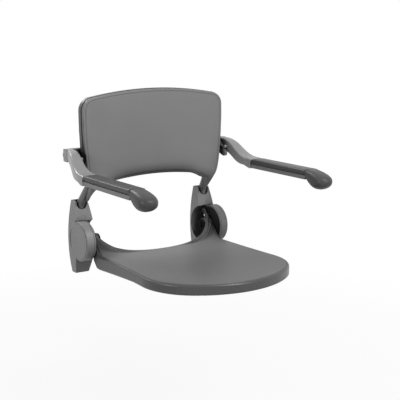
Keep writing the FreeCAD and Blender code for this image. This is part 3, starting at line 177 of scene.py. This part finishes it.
def grey(shade, warmth=0.0):
    """Linear colour of a grey, warmed a little where asked."""
    return (shade * (1 + warmth), shade, shade * (1 - warmth), 1)


# Finishes
RECESS_ROUGHNESS = 0.4


def powder_coat(name, shade, gloss_roughness, shine=0.4):
    """Satin coat on a casting or tube: fine orange peel, faint clouding, rubbed edges and painted
    shade in recesses.
    """
    f = Finish(name)
    dust = f.noise(60, detail=5.0, roughness=0.7)
    rubbed = f.edges(1.2 * MM) * dust.between(0.35, 0.7)
    open_air = f.open_air(90 * MM)
    base = f.clouded(f.noise(9, detail=3.0), grey(shade * 0.92), grey(shade * 1.08))
    base = f.mix(rubbed * 0.35, base, grey(shade * 1.9))
    # Painted shade: the colour goes almost black deep in corners and recesses.
    base = f.mix(open_air, grey(shade * 0.05), base)
    roughness = gloss_roughness + 0.08 * dust - 0.08 * rubbed + RECESS_ROUGHNESS * (1 - open_air)
    orange_peel = f.bump(f.noise(900, detail=3.0), 0.14, 0.4 * MM, f.rounded(1.6 * MM))
    return f.finish(base, roughness, orange_peel, **{"Specular IOR Level": shine})


def moulded_plastic(name, shade, gloss_roughness, grain=0.12, shine=0.4):
    """Injection-moulded shell: fine spark-eroded grain, slight handling marks and painted shade in
    recesses.
    """
    f = Finish(name)
    smear = f.noise(24, detail=6.0, roughness=0.65, stretch=(1, 0.4, 1))
    handled = f.edges(0.9 * MM) * smear.between(0.4, 0.7)
    open_air = f.open_air(60 * MM)
    base = f.clouded(f.noise(7), grey(shade * 0.9), grey(shade * 1.1))
    base = f.mix(handled * 0.25, base, grey(shade * 1.7))
    # Painted shade: the colour goes almost black deep in corners and recesses.
    base = f.mix(open_air, grey(shade * 0.08), base)
    roughness = gloss_roughness + 0.14 * smear + RECESS_ROUGHNESS * (1 - open_air)
    spark_grain = f.bump(f.cells(1400), grain, 0.3 * MM, f.rounded(1.4 * MM))
    return f.finish(base, roughness, spark_grain, **{"Specular IOR Level": shine})


def foam_skin(name, shade, gloss_roughness):
    """Integral skin of a moulded foam pad: very fine leather grain, soft wear, and painted shade in
    recesses and wherever the mesh marks it.
    """
    f = Finish(name)
    grain = f.cells(780, feature="SMOOTH_F1")
    cloud = f.noise(5, detail=3.0, distortion=0.4)
    base = f.clouded(cloud, grey(shade * 0.94, 0.006), grey(shade * 1.06, 0.002))
    base = f.mix(grain.between(0.0, 0.5) * 0.2, base, grey(shade * 0.8))
    # Painted shade: the colour goes almost black deep in corners and recesses.
    base = f.mix(f.open_air(70 * MM, 0.35, 0.97), grey(shade * 0.12), base)
    painted_shade = f.node("ShaderNodeAttribute", {"attribute_name": "painted_shade"}, output="Fac")
    # Painted shade from the mesh's attribute: dark in the seat's creases, at the foot of its ramps
    # and under the backrest's arch.
    base = f.mix(painted_shade, base, grey(shade * 0.15))
    roughness = gloss_roughness + 0.1 * f.noise(16, detail=5.0, roughness=0.6)
    leather = f.bump(grain + 0.35 * f.noise(2300), 0.1, 0.2 * MM)
    fixed = {"Specular IOR Level": 0.16, "Coat Weight": 0.02}
    return f.finish(base, roughness, leather, **fixed)


def brushed_steel(name, shade, gloss_roughness):
    """Turned or rolled steel with fine brush lines and faint stains."""
    f = Finish(name)
    lines = f.noise(420, detail=4.0, stretch=(1, 1, 16))
    stain = f.noise(38, detail=4.0)
    base = f.mix(stain.between(0.35, 0.7), grey(shade, 0.01), grey(shade * 0.82, 0.02))
    roughness = gloss_roughness + 0.16 * lines
    brushing = f.bump(lines, 0.08, 0.2 * MM, f.rounded(0.6 * MM))
    return f.finish(base, roughness, brushing, Metallic=1.0)


finishes = {
    "cast_grey": powder_coat("cast_grey", 0.21, 0.40),
    "post_grey": powder_coat("post_grey", 0.17, 0.34),
    "neck_grey": powder_coat("neck_grey", 0.30, 0.28),
    "cap_grey": powder_coat("cap_grey", 0.18, 0.24),
    "shell_plastic": moulded_plastic("shell_plastic", 0.07, 0.24, grain=0.05),
    "back_plastic": moulded_plastic("back_plastic", 0.07, 0.32),
    "beam_plastic": moulded_plastic("beam_plastic", 0.17, 0.34),
    "plug_plastic": powder_coat("plug_plastic", 0.21, 0.40),
    "bush_plastic": moulded_plastic("bush_plastic", 0.015, 0.6, shine=0.1),
    "seat_foam": foam_skin("seat_foam", 0.165, 0.44),
    "back_foam": foam_skin("back_foam", 0.22, 0.46),
    "arm_foam": foam_skin("arm_foam", 0.075, 0.34),
    "steel": brushed_steel("steel", 0.3, 0.34),
    "plate_steel": powder_coat("plate_steel", 0.015, 0.6, shine=0.1),
    "screw_steel": brushed_steel("screw_steel", 0.6, 0.24),
    "black_steel": powder_coat("black_steel", 0.006, 0.7, shine=0.05),
}

# The stop pins are as black as the end screws that sit beside them in the open hubs.
slot_of = {part["node"]: part["material_slot"] for part in frame["record"]["subparts"]}
slot_of.update(left_stop_pin="black_steel", right_stop_pin="black_steel")
for node_name, node_object in frame["nodes"].items():
    node_object.data.materials.clear()
    node_object.data.materials.append(finishes[slot_of[node_name]])


# Lines in a plane
def mirrored(points):
    return [(-x, y) for x, y in points]


def swing(centre, radius, first, last, count):
    """Points on a circle from one angle to another."""
    angles = np.linspace(first, last, count)
    return [(centre[0] + radius * math.cos(t), centre[1] + radius * math.sin(t)) for t in angles]


def arc(start, middle, end, steps=24):
    """Points on the circle through three points, from start to end."""
    (ax, ay), (bx, by), (cx, cy) = start, middle, end
    a2, b2, c2 = ax * ax + ay * ay, bx * bx + by * by, cx * cx + cy * cy
    spread = 2 * (ax * (by - cy) + bx * (cy - ay) + cx * (ay - by))
    x = (a2 * (by - cy) + b2 * (cy - ay) + c2 * (ay - by)) / spread
    y = (a2 * (cx - bx) + b2 * (ax - cx) + c2 * (bx - ax)) / spread
    first = math.atan2(ay - y, ax - x)
    turn = (math.atan2(cy - y, cx - x) - first) % math.tau
    via = (math.atan2(by - y, bx - x) - first) % math.tau
    if via > turn:
        turn -= math.tau
    return swing((x, y), math.hypot(ax - x, ay - y), first, first + turn, steps + 1)


def arc_chain(*points):
    """Arcs joined end to end, each through three points and starting where the last one ended."""
    chain = arc(*points[:3])
    for k in range(2, len(points) - 2, 2):
        chain += arc(*points[k : k + 3])[1:]
    return chain


def along_line(points, shares):
    """Points of a polyline at shares of its length."""
    points = np.array(points, float)
    length = np.concatenate([[0], np.cumsum(np.hypot(*np.diff(points, axis=0).T))])
    return np.stack([np.interp(shares * length[-1], length, axis) for axis in points.T], 1)


def gathered(count):
    """Shares from 0 to 1 that lie closer together towards both ends."""
    even = np.linspace(0, 1, count)
    return 0.35 * even + 0.65 * (0.5 - 0.5 * np.cos(math.pi * even))


def smoothed(rows, passes):
    """Rows of numbers with their kinks rounded off and both end rows kept."""
    rows = rows.copy()
    for _ in range(passes):
        rows[1:-1] = (rows[:-2] + 2 * rows[1:-1] + rows[2:]) / 4
    return rows


# Skin of a pad: a grid of points between its edges, and how far each of them has sunk
def patch(rear, front, left, right, columns, rows):
    """Grid of points that fills the space between four edge lines."""
    rear, front = along_line(rear, gathered(columns)), along_line(front, gathered(columns))
    left, right = along_line(left, gathered(rows)), along_line(right, gathered(rows))
    across, ahead = gathered(columns)[None, :, None], gathered(rows)[:, None, None]
    grid = (1 - ahead) * rear + ahead * front
    grid = grid + (1 - across) * left[:, None] + across * right[:, None]
    corners = (1 - ahead) * ((1 - across) * rear[0] + across * rear[-1])
    corners = corners + ahead * ((1 - across) * front[0] + across * front[-1])
    return grid - corners


def distance_to(edge, grid):
    """Distance of each grid point from the nearest point of a line."""
    nearest = np.full(grid.shape[:2], np.inf)
    for point in edge:
        nearest = np.minimum(nearest, np.hypot(*np.moveaxis(grid - point, -1, 0)))
    return nearest


def rim_distance(grid):
    """Distance of each grid point from the outline of its patch."""
    return distance_to(np.concatenate([grid[0], grid[-1], grid[:, 0], grid[:, -1]]), grid)


def rise(value, low, high):
    """0 below low, 1 above high and a straight rise in between."""
    return np.clip((value - low) / (high - low), 0, 1)


def hump(distance, width):
    """1 at no distance, softly down to 0 beyond a width or two."""
    return np.exp(-((distance / width) ** 2))


def roll(distance, radius):
    """How far a rounded edge of that radius has fallen at a distance from the outline."""
    gap = np.clip(radius - distance, 0, None)
    return radius - np.sqrt(np.clip(radius * radius - gap * gap, 0, None))


def cushion_edge(rim, radius, slack, spread, crown):
    """Fall of a foam pad towards its outline: rounded rim and soft slack, less the crown."""
    return roll(rim, radius) + slack * np.exp(-rim / spread) - crown


# Meshes
DEEPEST_PAINTED_SHADE = 0.9  # of the way to the dark colour of the painted shade
PAD_CLEARANCE = 0.05  # mm between a pad's rear face and the shell


def settled(name, mesh):
    """Object of a mesh whose faces all look outwards and are shaded softly."""
    mesh.validate()
    made = bpy.data.objects.new(name, mesh)
    bpy.context.scene.collection.objects.link(made)
    bpy.context.view_layer.objects.active = made
    made.select_set(True)
    bpy.ops.object.mode_set(mode="EDIT")
    bpy.ops.mesh.select_all(action="SELECT")
    bpy.ops.mesh.normals_make_consistent(inside=False)
    bpy.ops.object.mode_set(mode="OBJECT")
    bpy.ops.object.shade_smooth()
    made.select_set(False)
    return made


def closed_mesh(name, top, bottom, painted_shade):
    """Closed skin from two grids of points that share one outline, with how much shade is painted on
    each point of the top.
    """
    count = painted_shade.size
    index = np.arange(count).reshape(painted_shade.shape)
    quads = np.stack([index[:-1, :-1], index[:-1, 1:], index[1:, 1:], index[1:, :-1]], -1)
    quads = quads.reshape(-1, 4)
    rim = np.concatenate([index[0, :-1], index[:-1, -1], index[-1, :0:-1], index[:0:-1, 0]])
    after = np.roll(rim, -1)
    walls = np.stack([after, rim, count + rim, count + after], -1)
    points = np.concatenate([top.reshape(-1, 3), bottom.reshape(-1, 3)]) * MM
    faces = np.concatenate([quads, count + quads[:, ::-1], walls])
    mesh = bpy.data.meshes.new(name)
    mesh.from_pydata(points.tolist(), [], faces.tolist())
    painted_shade_attribute = mesh.attributes.new("painted_shade", "FLOAT", "POINT")
    painted_shade_attribute.data.foreach_set("value", np.concatenate([painted_shade.ravel(), np.zeros(count)]))
    return settled(name, mesh)


def ring_mesh(name, rings):
    """Closed skin through a row of rings with the same number of points."""
    rings = np.array(rings)
    index = np.arange(rings.shape[0] * rings.shape[1]).reshape(rings.shape[:2])
    after = np.roll(index, -1, axis=1)
    sides = np.stack([index[:-1], index[1:], after[1:], after[:-1]], -1).reshape(-1, 4)
    faces = [index[0].tolist()] + sides.tolist() + [index[-1, ::-1].tolist()]
    mesh = bpy.data.meshes.new(name)
    mesh.from_pydata((rings.reshape(-1, 3) * MM).tolist(), [], faces)
    return settled(name, mesh)


def dress(made, node, slot, body):
    """Puts a foam skin on its body in place of the plain solid of a node."""
    made.data.materials.append(finishes[slot])
    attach(made, body)
    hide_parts(node)


# Seat pad, in millimetres as (x, depth) in plan
SEAT_TOP = -31.0
SEAT_PAD_THICKNESS = 8.0
SEAT_INSET = 6.0  # between the outline of the shell and that of the pad
SEAT_FLANK = 198.2  # half width at the rear, where the flanks start to flare
SEAT_STRAIGHT = 114.0
SEAT_HALF = 207.0
SEAT_FRONT = 541.0
SEAT_FRONT_RADIUS = 245.0
SEAT_SHOULDER = SEAT_FRONT - 181.0  # depth where the flanks turn into the front corners
CUTOUT_EDGE = 9.0  # between the shell's rear cut-out and the pad
CUTOUT_HALF = 193.0 + CUTOUT_EDGE
CUTOUT_REACH = 95.5 + CUTOUT_EDGE
CUTOUT_CENTRE = 35.5
RAMP_ANGLE = math.pi / 4
RAMP_FILLET = 45.0
RAMP_FOOT = 118.0
SEAT_DISH = 1.6
CREASE_COUNT = 3.0
CREASE_DEPTH = 1.5
CREASE_PITCH = 2.6  # in the middle, and wider towards the hubs by the spread
CREASE_SPREAD = 3.4


def seat_height(depth, drop):
    """Height of the sitting surface, lowered square to itself by a drop."""
    fillet_depth = RAMP_FOOT + RAMP_FILLET * math.tan(RAMP_ANGLE / 2)
    fillet_height = SEAT_TOP + RAMP_FILLET
    radius = RAMP_FILLET + drop
    reach = radius * math.sin(RAMP_ANGLE)
    back = np.clip(fillet_depth - depth, 0, None)
    bend = fillet_height - np.sqrt(np.clip(radius**2 - np.minimum(back, reach) ** 2, 0, None))
    return bend + np.clip(back - reach, 0, None)


def seat_arcs():
    """Tangent arcs of the pad's plan: the right flank, the right front corner and the front."""
    wide, run = SEAT_HALF - SEAT_FLANK, SEAT_SHOULDER - SEAT_STRAIGHT
    flank_radius = (wide**2 + run**2) / (2 * wide)
    lean = math.asin(run / flank_radius)
    front_centre = SEAT_FRONT - SEAT_FRONT_RADIUS
    gap = SEAT_SHOULDER - front_centre
    across, ahead = math.cos(lean), math.sin(lean)
    corner_radius = (SEAT_FRONT_RADIUS**2 - SEAT_HALF**2 - gap**2) / 2
    corner_radius = corner_radius / (SEAT_FRONT_RADIUS - SEAT_HALF * across + gap * ahead)
    corner = (SEAT_HALF - corner_radius * across, SEAT_SHOULDER + corner_radius * ahead)
    meet = math.atan2(corner[1] - front_centre, corner[0])
    flank_centre = (SEAT_FLANK + flank_radius, SEAT_STRAIGHT)
    flank = swing(flank_centre, flank_radius + SEAT_INSET, math.pi, math.pi - lean, 30)
    turn = swing(corner, corner_radius - SEAT_INSET, -lean, meet, 30)
    nose = swing((0, front_centre), SEAT_FRONT_RADIUS - SEAT_INSET, meet, math.pi - meet, 60)
    return flank, turn, nose


def seat_edges():
    """Rear, front, left and right edge of the seat pad."""
    flank, turn, nose = seat_arcs()
    across = (SEAT_FLANK - SEAT_INSET) * np.sin(np.linspace(-1, 1, 121) * math.pi / 2)
    rear = [(x, CUTOUT_CENTRE + CUTOUT_REACH * math.sqrt(1 - (x / CUTOUT_HALF) ** 2)) for x in across]
    split = len(turn) // 2
    right = [rear[-1]] + flank + turn[1:split]
    front_corner = turn[split - 1 :]
    front = mirrored(front_corner) + nose[-2:0:-1] + front_corner[::-1]
    return rear, front, mirrored(right), right


def rear_creases(x, depth):
    """Fine grooves along the rear edge that spread towards the hubs and fade in the middle."""
    ahead = np.clip(depth - CUTOUT_CENTRE, 0, None)
    level = np.hypot(x / CUTOUT_HALF, ahead / CUTOUT_REACH)
    slope = np.hypot(x / CUTOUT_HALF**2, ahead / CUTOUT_REACH**2) / level
    from_edge = (level - 1) / slope
    spread = rise(np.abs(x), 40, 170)
    pitch = CREASE_PITCH + CREASE_SPREAD * spread
    inside = np.clip(CREASE_COUNT - from_edge / pitch, 0, 1)
    return spread * inside * np.sin(math.pi * from_edge / pitch) ** 2


def seat_pad():
    grid = patch(*seat_edges(), columns=130, rows=260)
    x, depth = grid[..., 0], grid[..., 1]
    creases = rear_creases(x, depth)
    dish = SEAT_DISH * hump(x, 130) * hump(depth - 300, 150)
    edge = cushion_edge(rim_distance(grid), radius=4.0, slack=0.9, spread=14, crown=0.5)
    drop = edge + dish + CREASE_DEPTH * creases
    # Painted shade: the rear creases and a band at the foot of the ramp, near the hubs, are darkened
    # in colour.
    painted_ramp_shade = hump(depth - 98, 20) * rise(np.abs(x), 115, 185)
    painted_shade = np.clip(0.8 * creases + 0.75 * painted_ramp_shade, 0, DEEPEST_PAINTED_SHADE)
    under = SEAT_PAD_THICKNESS - PAD_CLEARANCE
    top = np.stack([x, -depth, seat_height(depth, drop)], -1)
    bottom = np.stack([x, -depth, seat_height(depth, under)], -1)
    dress(closed_mesh("seat_pad_skin", top, bottom, painted_shade), "seat_pad", "seat_foam", "seat")


seat_pad()


# Backrest pad, in millimetres as (x, height) seen from the front
PAD_INSET = 1.5  # between the outline of the shell and that of the pad
BACK_HALF = 222.0 - PAD_INSET
BACK_APEX = 406.0 - PAD_INSET
BACK_SHOULDER = 389.0 - PAD_INSET / 2
BACK_CORNER = 34.0
BACK_WAIST = 216.0 - PAD_INSET
BACK_ARCH = 168.0 + PAD_INSET
FOOT_OUTSIDE = 197.5 - PAD_INSET
FOOT_INSIDE = 184.0 + PAD_INSET
FOOT_LEVEL = 104.0
BACK_PAD_THICKNESS = 13.0
THINNEST_PAD = 1.0
BACK_DISH = 5.0
BACK_DISH_HALF = 200.0
PIPING_INSET = 7.0
PIPING_WIDTH = 1.4
PIPING_DEPTH = 0.9
ARCH_ROLL = 30.0
ARCH_ROLL_SHARE = 0.36

# The lower part of the backrest rolls back to lie along the leaning posts.
BACK_FRONT = 92.0
BACK_ROLL = 60.0
POST_LEAN = 0.727
POST_KNEE = 94.0
POST_RADIUS = 11.0
POST_PLAY = 0.6
SOCKET_DEPTH = 18.0
LEAN_COSINE = 1 / math.sqrt(1 + POST_LEAN**2)
LEAN_SINE = POST_LEAN * LEAN_COSINE
ROLL_DEPTH = BACK_FRONT - BACK_ROLL
ROLL_ABOVE_POST = BACK_ROLL - BACK_PAD_THICKNESS - POST_PLAY - POST_RADIUS
ROLL_HEIGHT = POST_KNEE + ((ROLL_DEPTH - SOCKET_DEPTH) * LEAN_COSINE + ROLL_ABOVE_POST) / LEAN_SINE


def back_depth(height, inset):
    """Depth of the backrest's front at a height, moved back square to itself by an inset."""
    radius = BACK_ROLL - inset
    below = np.clip(ROLL_HEIGHT - height, 0, None)
    reach = radius * LEAN_SINE
    bend = ROLL_DEPTH + np.sqrt(np.clip(radius**2 - np.minimum(below, reach) ** 2, 0, None))
    return bend - np.clip(below - reach, 0, None) * POST_LEAN


def back_top():
    """Top edge from left to right: an arched crown between two rounded corners."""
    start = (BACK_HALF - BACK_CORNER, BACK_SHOULDER)
    middle = (BACK_HALF - BACK_CORNER * 0.3, BACK_SHOULDER - BACK_CORNER * 0.32)
    corner = arc(start, middle, (BACK_HALF, BACK_SHOULDER - BACK_CORNER), 16)
    crown = arc((-start[0], start[1]), (0, BACK_APEX), start, 60)
    return mirrored(corner)[::-1] + crown[1:-1] + corner


def back_side():
    """Right edge, from the upper corner down to the outside of the foot."""
    side = arc_chain(
        (BACK_HALF, BACK_SHOULDER - BACK_CORNER),
        (BACK_HALF - 1, 295.0),
        (BACK_WAIST, 215.0),
        (BACK_WAIST - 5, 179.0),
        (FOOT_OUTSIDE + 4, 144.0),
    )
    return side + [(FOOT_OUTSIDE, FOOT_LEVEL)]


def back_bottom():
    """Lower edge from left to right: a foot, the arch above the seat and the other foot."""
    inside = arc_chain(
        (FOOT_INSIDE, FOOT_LEVEL),
        (FOOT_INSIDE - 1.5, 119.0),
        (FOOT_INSIDE - 6, 131.0),
        (FOOT_INSIDE - 12, 138.5),
        (FOOT_INSIDE - 22, 143.5),
        (FOOT_INSIDE - 42, BACK_ARCH - 17),
        (FOOT_INSIDE - 62, BACK_ARCH - 9),
    )
    span, height = inside[-1]
    arch = arc((-span, height), (0, BACK_ARCH), (span, height), 60)
    left, right = (-FOOT_OUTSIDE, FOOT_LEVEL), (FOOT_OUTSIDE, FOOT_LEVEL)
    line = [left] + mirrored(inside) + arch[1:-1] + inside[::-1] + [right]
    return smoothed(along_line(line, np.linspace(0, 1, 420)), passes=14)


def backrest_pad():
    side = back_side()
    grid = patch(back_top(), back_bottom(), mirrored(side), side, columns=200, rows=150)
    x, height = grid[..., 0], grid[..., 1]
    rim, above_arch = rim_distance(grid), distance_to(grid[-1], grid)
    piping = hump(rim - PIPING_INSET, PIPING_WIDTH)
    hollow = np.clip(1 - (x / BACK_DISH_HALF) ** 2, 0, 1)
    dish = BACK_DISH * hollow * rise(height, 150, 210)
    inset = cushion_edge(rim, radius=4.5, slack=1.0, spread=12, crown=0.4) + dish
    inset = inset + ARCH_ROLL_SHARE * roll(above_arch, ARCH_ROLL) + PIPING_DEPTH * piping
    inset = np.minimum(inset, BACK_PAD_THICKNESS - THINNEST_PAD)
    # Painted shade: a dark band along the rolled-under arch in the middle, and a little in the piping
    # groove.
    painted_arch_shade = np.exp(-((above_arch / 26) ** 1.5)) * (1 - rise(np.abs(x), 85, 170))
    painted_shade = np.clip(0.85 * painted_arch_shade + 0.25 * piping, 0, DEEPEST_PAINTED_SHADE)
    behind = BACK_PAD_THICKNESS - PAD_CLEARANCE
    front = np.stack([x, -back_depth(height, inset), height], -1)
    rear = np.stack([x, -back_depth(height, behind), height], -1)
    made = closed_mesh("backrest_pad_skin", front, rear, painted_shade)
    dress(made, "backrest_pad", "back_foam", "frame")


backrest_pad()


# Arm pads, in millimetres as cross-sections along the arm. A section is its depth, its half
# width, its lower and upper height, and how square its lower and upper corners are.
ARM_REAR = 204.0
ARM_END = 441.3
ARM_MIDDLE = 262.0
ARM_HALF = 22.0
ARM_LOW = 194.0
ARM_TOP = 206.0
ARM_REAR_ROUND = 7.0
ARM_REAR_FALL = 5.0
PADDLE_START = 486.0
PADDLE_TIP = 510.0
DROOP = [
    (ARM_END, ARM_HALF, 181.0, ARM_TOP, 3.4, 3.6),
    (447.0, 22.2, 175.0, 205.8, 3.2, 3.5),
    (454.0, 22.8, 167.5, 205.2, 2.9, 3.4),
    (462.0, 23.6, 161.8, 204.2, 2.7, 3.3),
    (471.0, 24.4, 158.6, 202.6, 2.6, 3.2),
    (479.0, 24.8, 157.8, 200.6, 2.5, 3.1),
    (PADDLE_START, 24.8, 158.4, 198.6, 2.4, 3.0),
]


def bar_sections():
    """The level bar that the forearm lies on, rounded over at its rear end."""
    sections = []
    for depth in ARM_REAR + np.linspace(0, 1, 40) * (ARM_END - ARM_REAR):
        to_rear = max(0.0, 1 - (depth - ARM_REAR) / ARM_REAR_ROUND)
        fall = ARM_REAR_FALL * (1 - math.sqrt(1 - to_rear**2))
        sections.append((depth, ARM_HALF - 0.6 * fall, ARM_LOW, ARM_TOP - fall, 9.0, 3.6))
    return sections


def droop_sections():
    """The underside that swells down from the bar to the paddle."""
    depths = np.linspace(ARM_END, PADDLE_START, 50)
    known, *columns = np.array(DROOP).T
    shaped = np.stack([np.interp(depths, known, column) for column in columns], 1)
    return [(depth, *row) for depth, row in zip(depths, smoothed(shaped, passes=6))]


def closing(share, power, root, least):
    """What is left of a size on the way to a rounded end."""
    return max(max(1 - share**power, 0.0) ** (1 / root), least)


def tip_sections():
    """The rounded tip of the paddle, which closes in width and in height."""
    half, low, high, blunt_low, blunt_high = DROOP[-1][1:]
    sections = []
    for share in np.sin(np.linspace(0, math.pi / 2, 40))[1:]:
        depth = PADDLE_START + share * (PADDLE_TIP - PADDLE_START)
        foot, crest = low + 13.0 * share**1.6, high - 8.0 * share
        middle = (foot + crest) / 2
        reach = (crest - foot) / 2 * closing(share, 5, 2.4, 0.04)
        width = half * closing(share, 2.3, 2.3, 0.03)
        blunt = (blunt_low, blunt_high - 0.8 * share)
        sections.append((depth, width, middle - reach, middle + reach, *blunt))
    return sections


def arm_ring(section, sign, around=56):
    """Points round one cross-section, on the right or the left arm."""
    depth, half, low, high, blunt_low, blunt_high = section
    turn = math.tau * np.arange(around) / around
    across, up = np.cos(turn), np.sin(turn)
    bend = 2 / np.where(up > 0, blunt_high, blunt_low)
    x = ARM_MIDDLE + half * np.copysign(np.abs(across) ** bend, across)
    z = (low + high) / 2 + (high - low) / 2 * np.copysign(np.abs(up) ** bend, up)
    return np.stack([x * sign, np.full(around, -depth), z], 1)


def arm_pad(side, sign):
    sections = bar_sections() + droop_sections() + tip_sections()
    made = ring_mesh(side + "_arm_pad_skin", [arm_ring(section, sign) for section in sections])
    dress(made, side + "_arm_pad", "arm_foam", side + "_arm")


arm_pad("right", 1)
arm_pad("left", -1)


# Floor, light and camera
FLOOR_HALF = 12.0
FLOOR_LEVEL = -0.48
FLOOR_GREY = 0.45
FLOOR_WHITE = 0.92  # of plain white under the seat, rising to all of it further out
WORLD_LIGHT = 0.05
AIM = Vector((0, -0.25, 0.1))
SOFTBOXES = {  # place, width in metres, watts
    "key": ((0.5, -2.0, 1.9), 0.6, 46),
    "front": ((0.9, -2.6, 0.4), 0.6, 12),
    "rim": ((-0.5, 1.4, 1.7), 0.8, 28),
    "left": ((-2.4, -0.6, 0.7), 0.7, 24),
}
EYE = (-1.331, -2.310, 0.590)
EYE_TURN = math.radians(33.64)
EYE_TILT = math.radians(10.83)
SENSOR_WIDTH = 36.0
FOCAL_PIXELS = 944.0
PHOTO_PIXELS = 400.0


def floor_finish():
    """Pale floor that looks white to the camera and keeps a faint shadow."""
    f = Finish("pale_floor")
    plain = f.node("ShaderNodeBsdfDiffuse", {}, {"Color": grey(FLOOR_GREY)})
    bright = f.node("ShaderNodeEmission", {}, {"Color": grey(1.0), "Strength": 1.0})
    far = f.node("ShaderNodeVectorMath", {"operation": "LENGTH"}, (f.place(),), "Value")
    white = FLOOR_WHITE + (1 - FLOOR_WHITE) * far.between(0.5, 1.6)
    shader = f.node("ShaderNodeMixShader", {}, (f.seen() * white, plain, bright))
    f.node("ShaderNodeOutputMaterial", {}, {"Surface": shader})
    return f.owner


def pale_floor():
    mesh = bpy.data.meshes.new("floor")
    signs = ((-1, -1), (1, -1), (1, 1), (-1, 1))
    corners = [(FLOOR_HALF * x, FLOOR_HALF * y, FLOOR_LEVEL) for x, y in signs]
    mesh.from_pydata(corners, [], [(0, 1, 2, 3)])
    mesh.materials.append(floor_finish())
    floor = bpy.data.objects.new("floor", mesh)
    bpy.context.scene.collection.objects.link(floor)


def surroundings():
    """White to the camera and in reflections, with hardly any light on the object."""
    world = bpy.data.worlds.new("studio")
    bpy.context.scene.world = world
    g = Graph(world)
    bright = g.node("ShaderNodeBackground", {}, {"Color": grey(1.0), "Strength": 1.0})
    soft = g.node("ShaderNodeBackground", {}, {"Color": grey(1.0), "Strength": WORLD_LIGHT})
    shader = g.node("ShaderNodeMixShader", {}, (g.seen(), soft, bright))
    g.node("ShaderNodeOutputWorld", {}, {"Surface": shader})


def softbox(name, place, width, power):
    data = bpy.data.lights.new(name, "AREA")
    data.shape = "SQUARE"
    data.size = width
    data.energy = power
    lamp = bpy.data.objects.new(name, data)
    lamp.location = place
    lamp.rotation_euler = (AIM - Vector(place)).to_track_quat("-Z", "Y").to_euler()
    bpy.context.scene.collection.objects.link(lamp)


def camera():
    data = bpy.data.cameras.new("photo_view")
    data.sensor_width = SENSOR_WIDTH
    data.lens = SENSOR_WIDTH * FOCAL_PIXELS / PHOTO_PIXELS
    eye = bpy.data.objects.new("photo_view", data)
    level = math.cos(EYE_TILT)
    ahead = Vector((math.sin(EYE_TURN) * level, math.cos(EYE_TURN) * level, -math.sin(EYE_TILT)))
    eye.location = EYE
    eye.rotation_euler = ahead.to_track_quat("-Z", "Y").to_euler()
    bpy.context.scene.collection.objects.link(eye)
    bpy.context.scene.camera = eye


pale_floor()
surroundings()
for box_name, box in SOFTBOXES.items():
    softbox(box_name, *box)
camera()
bpy.context.scene.view_settings.view_transform = "Standard"
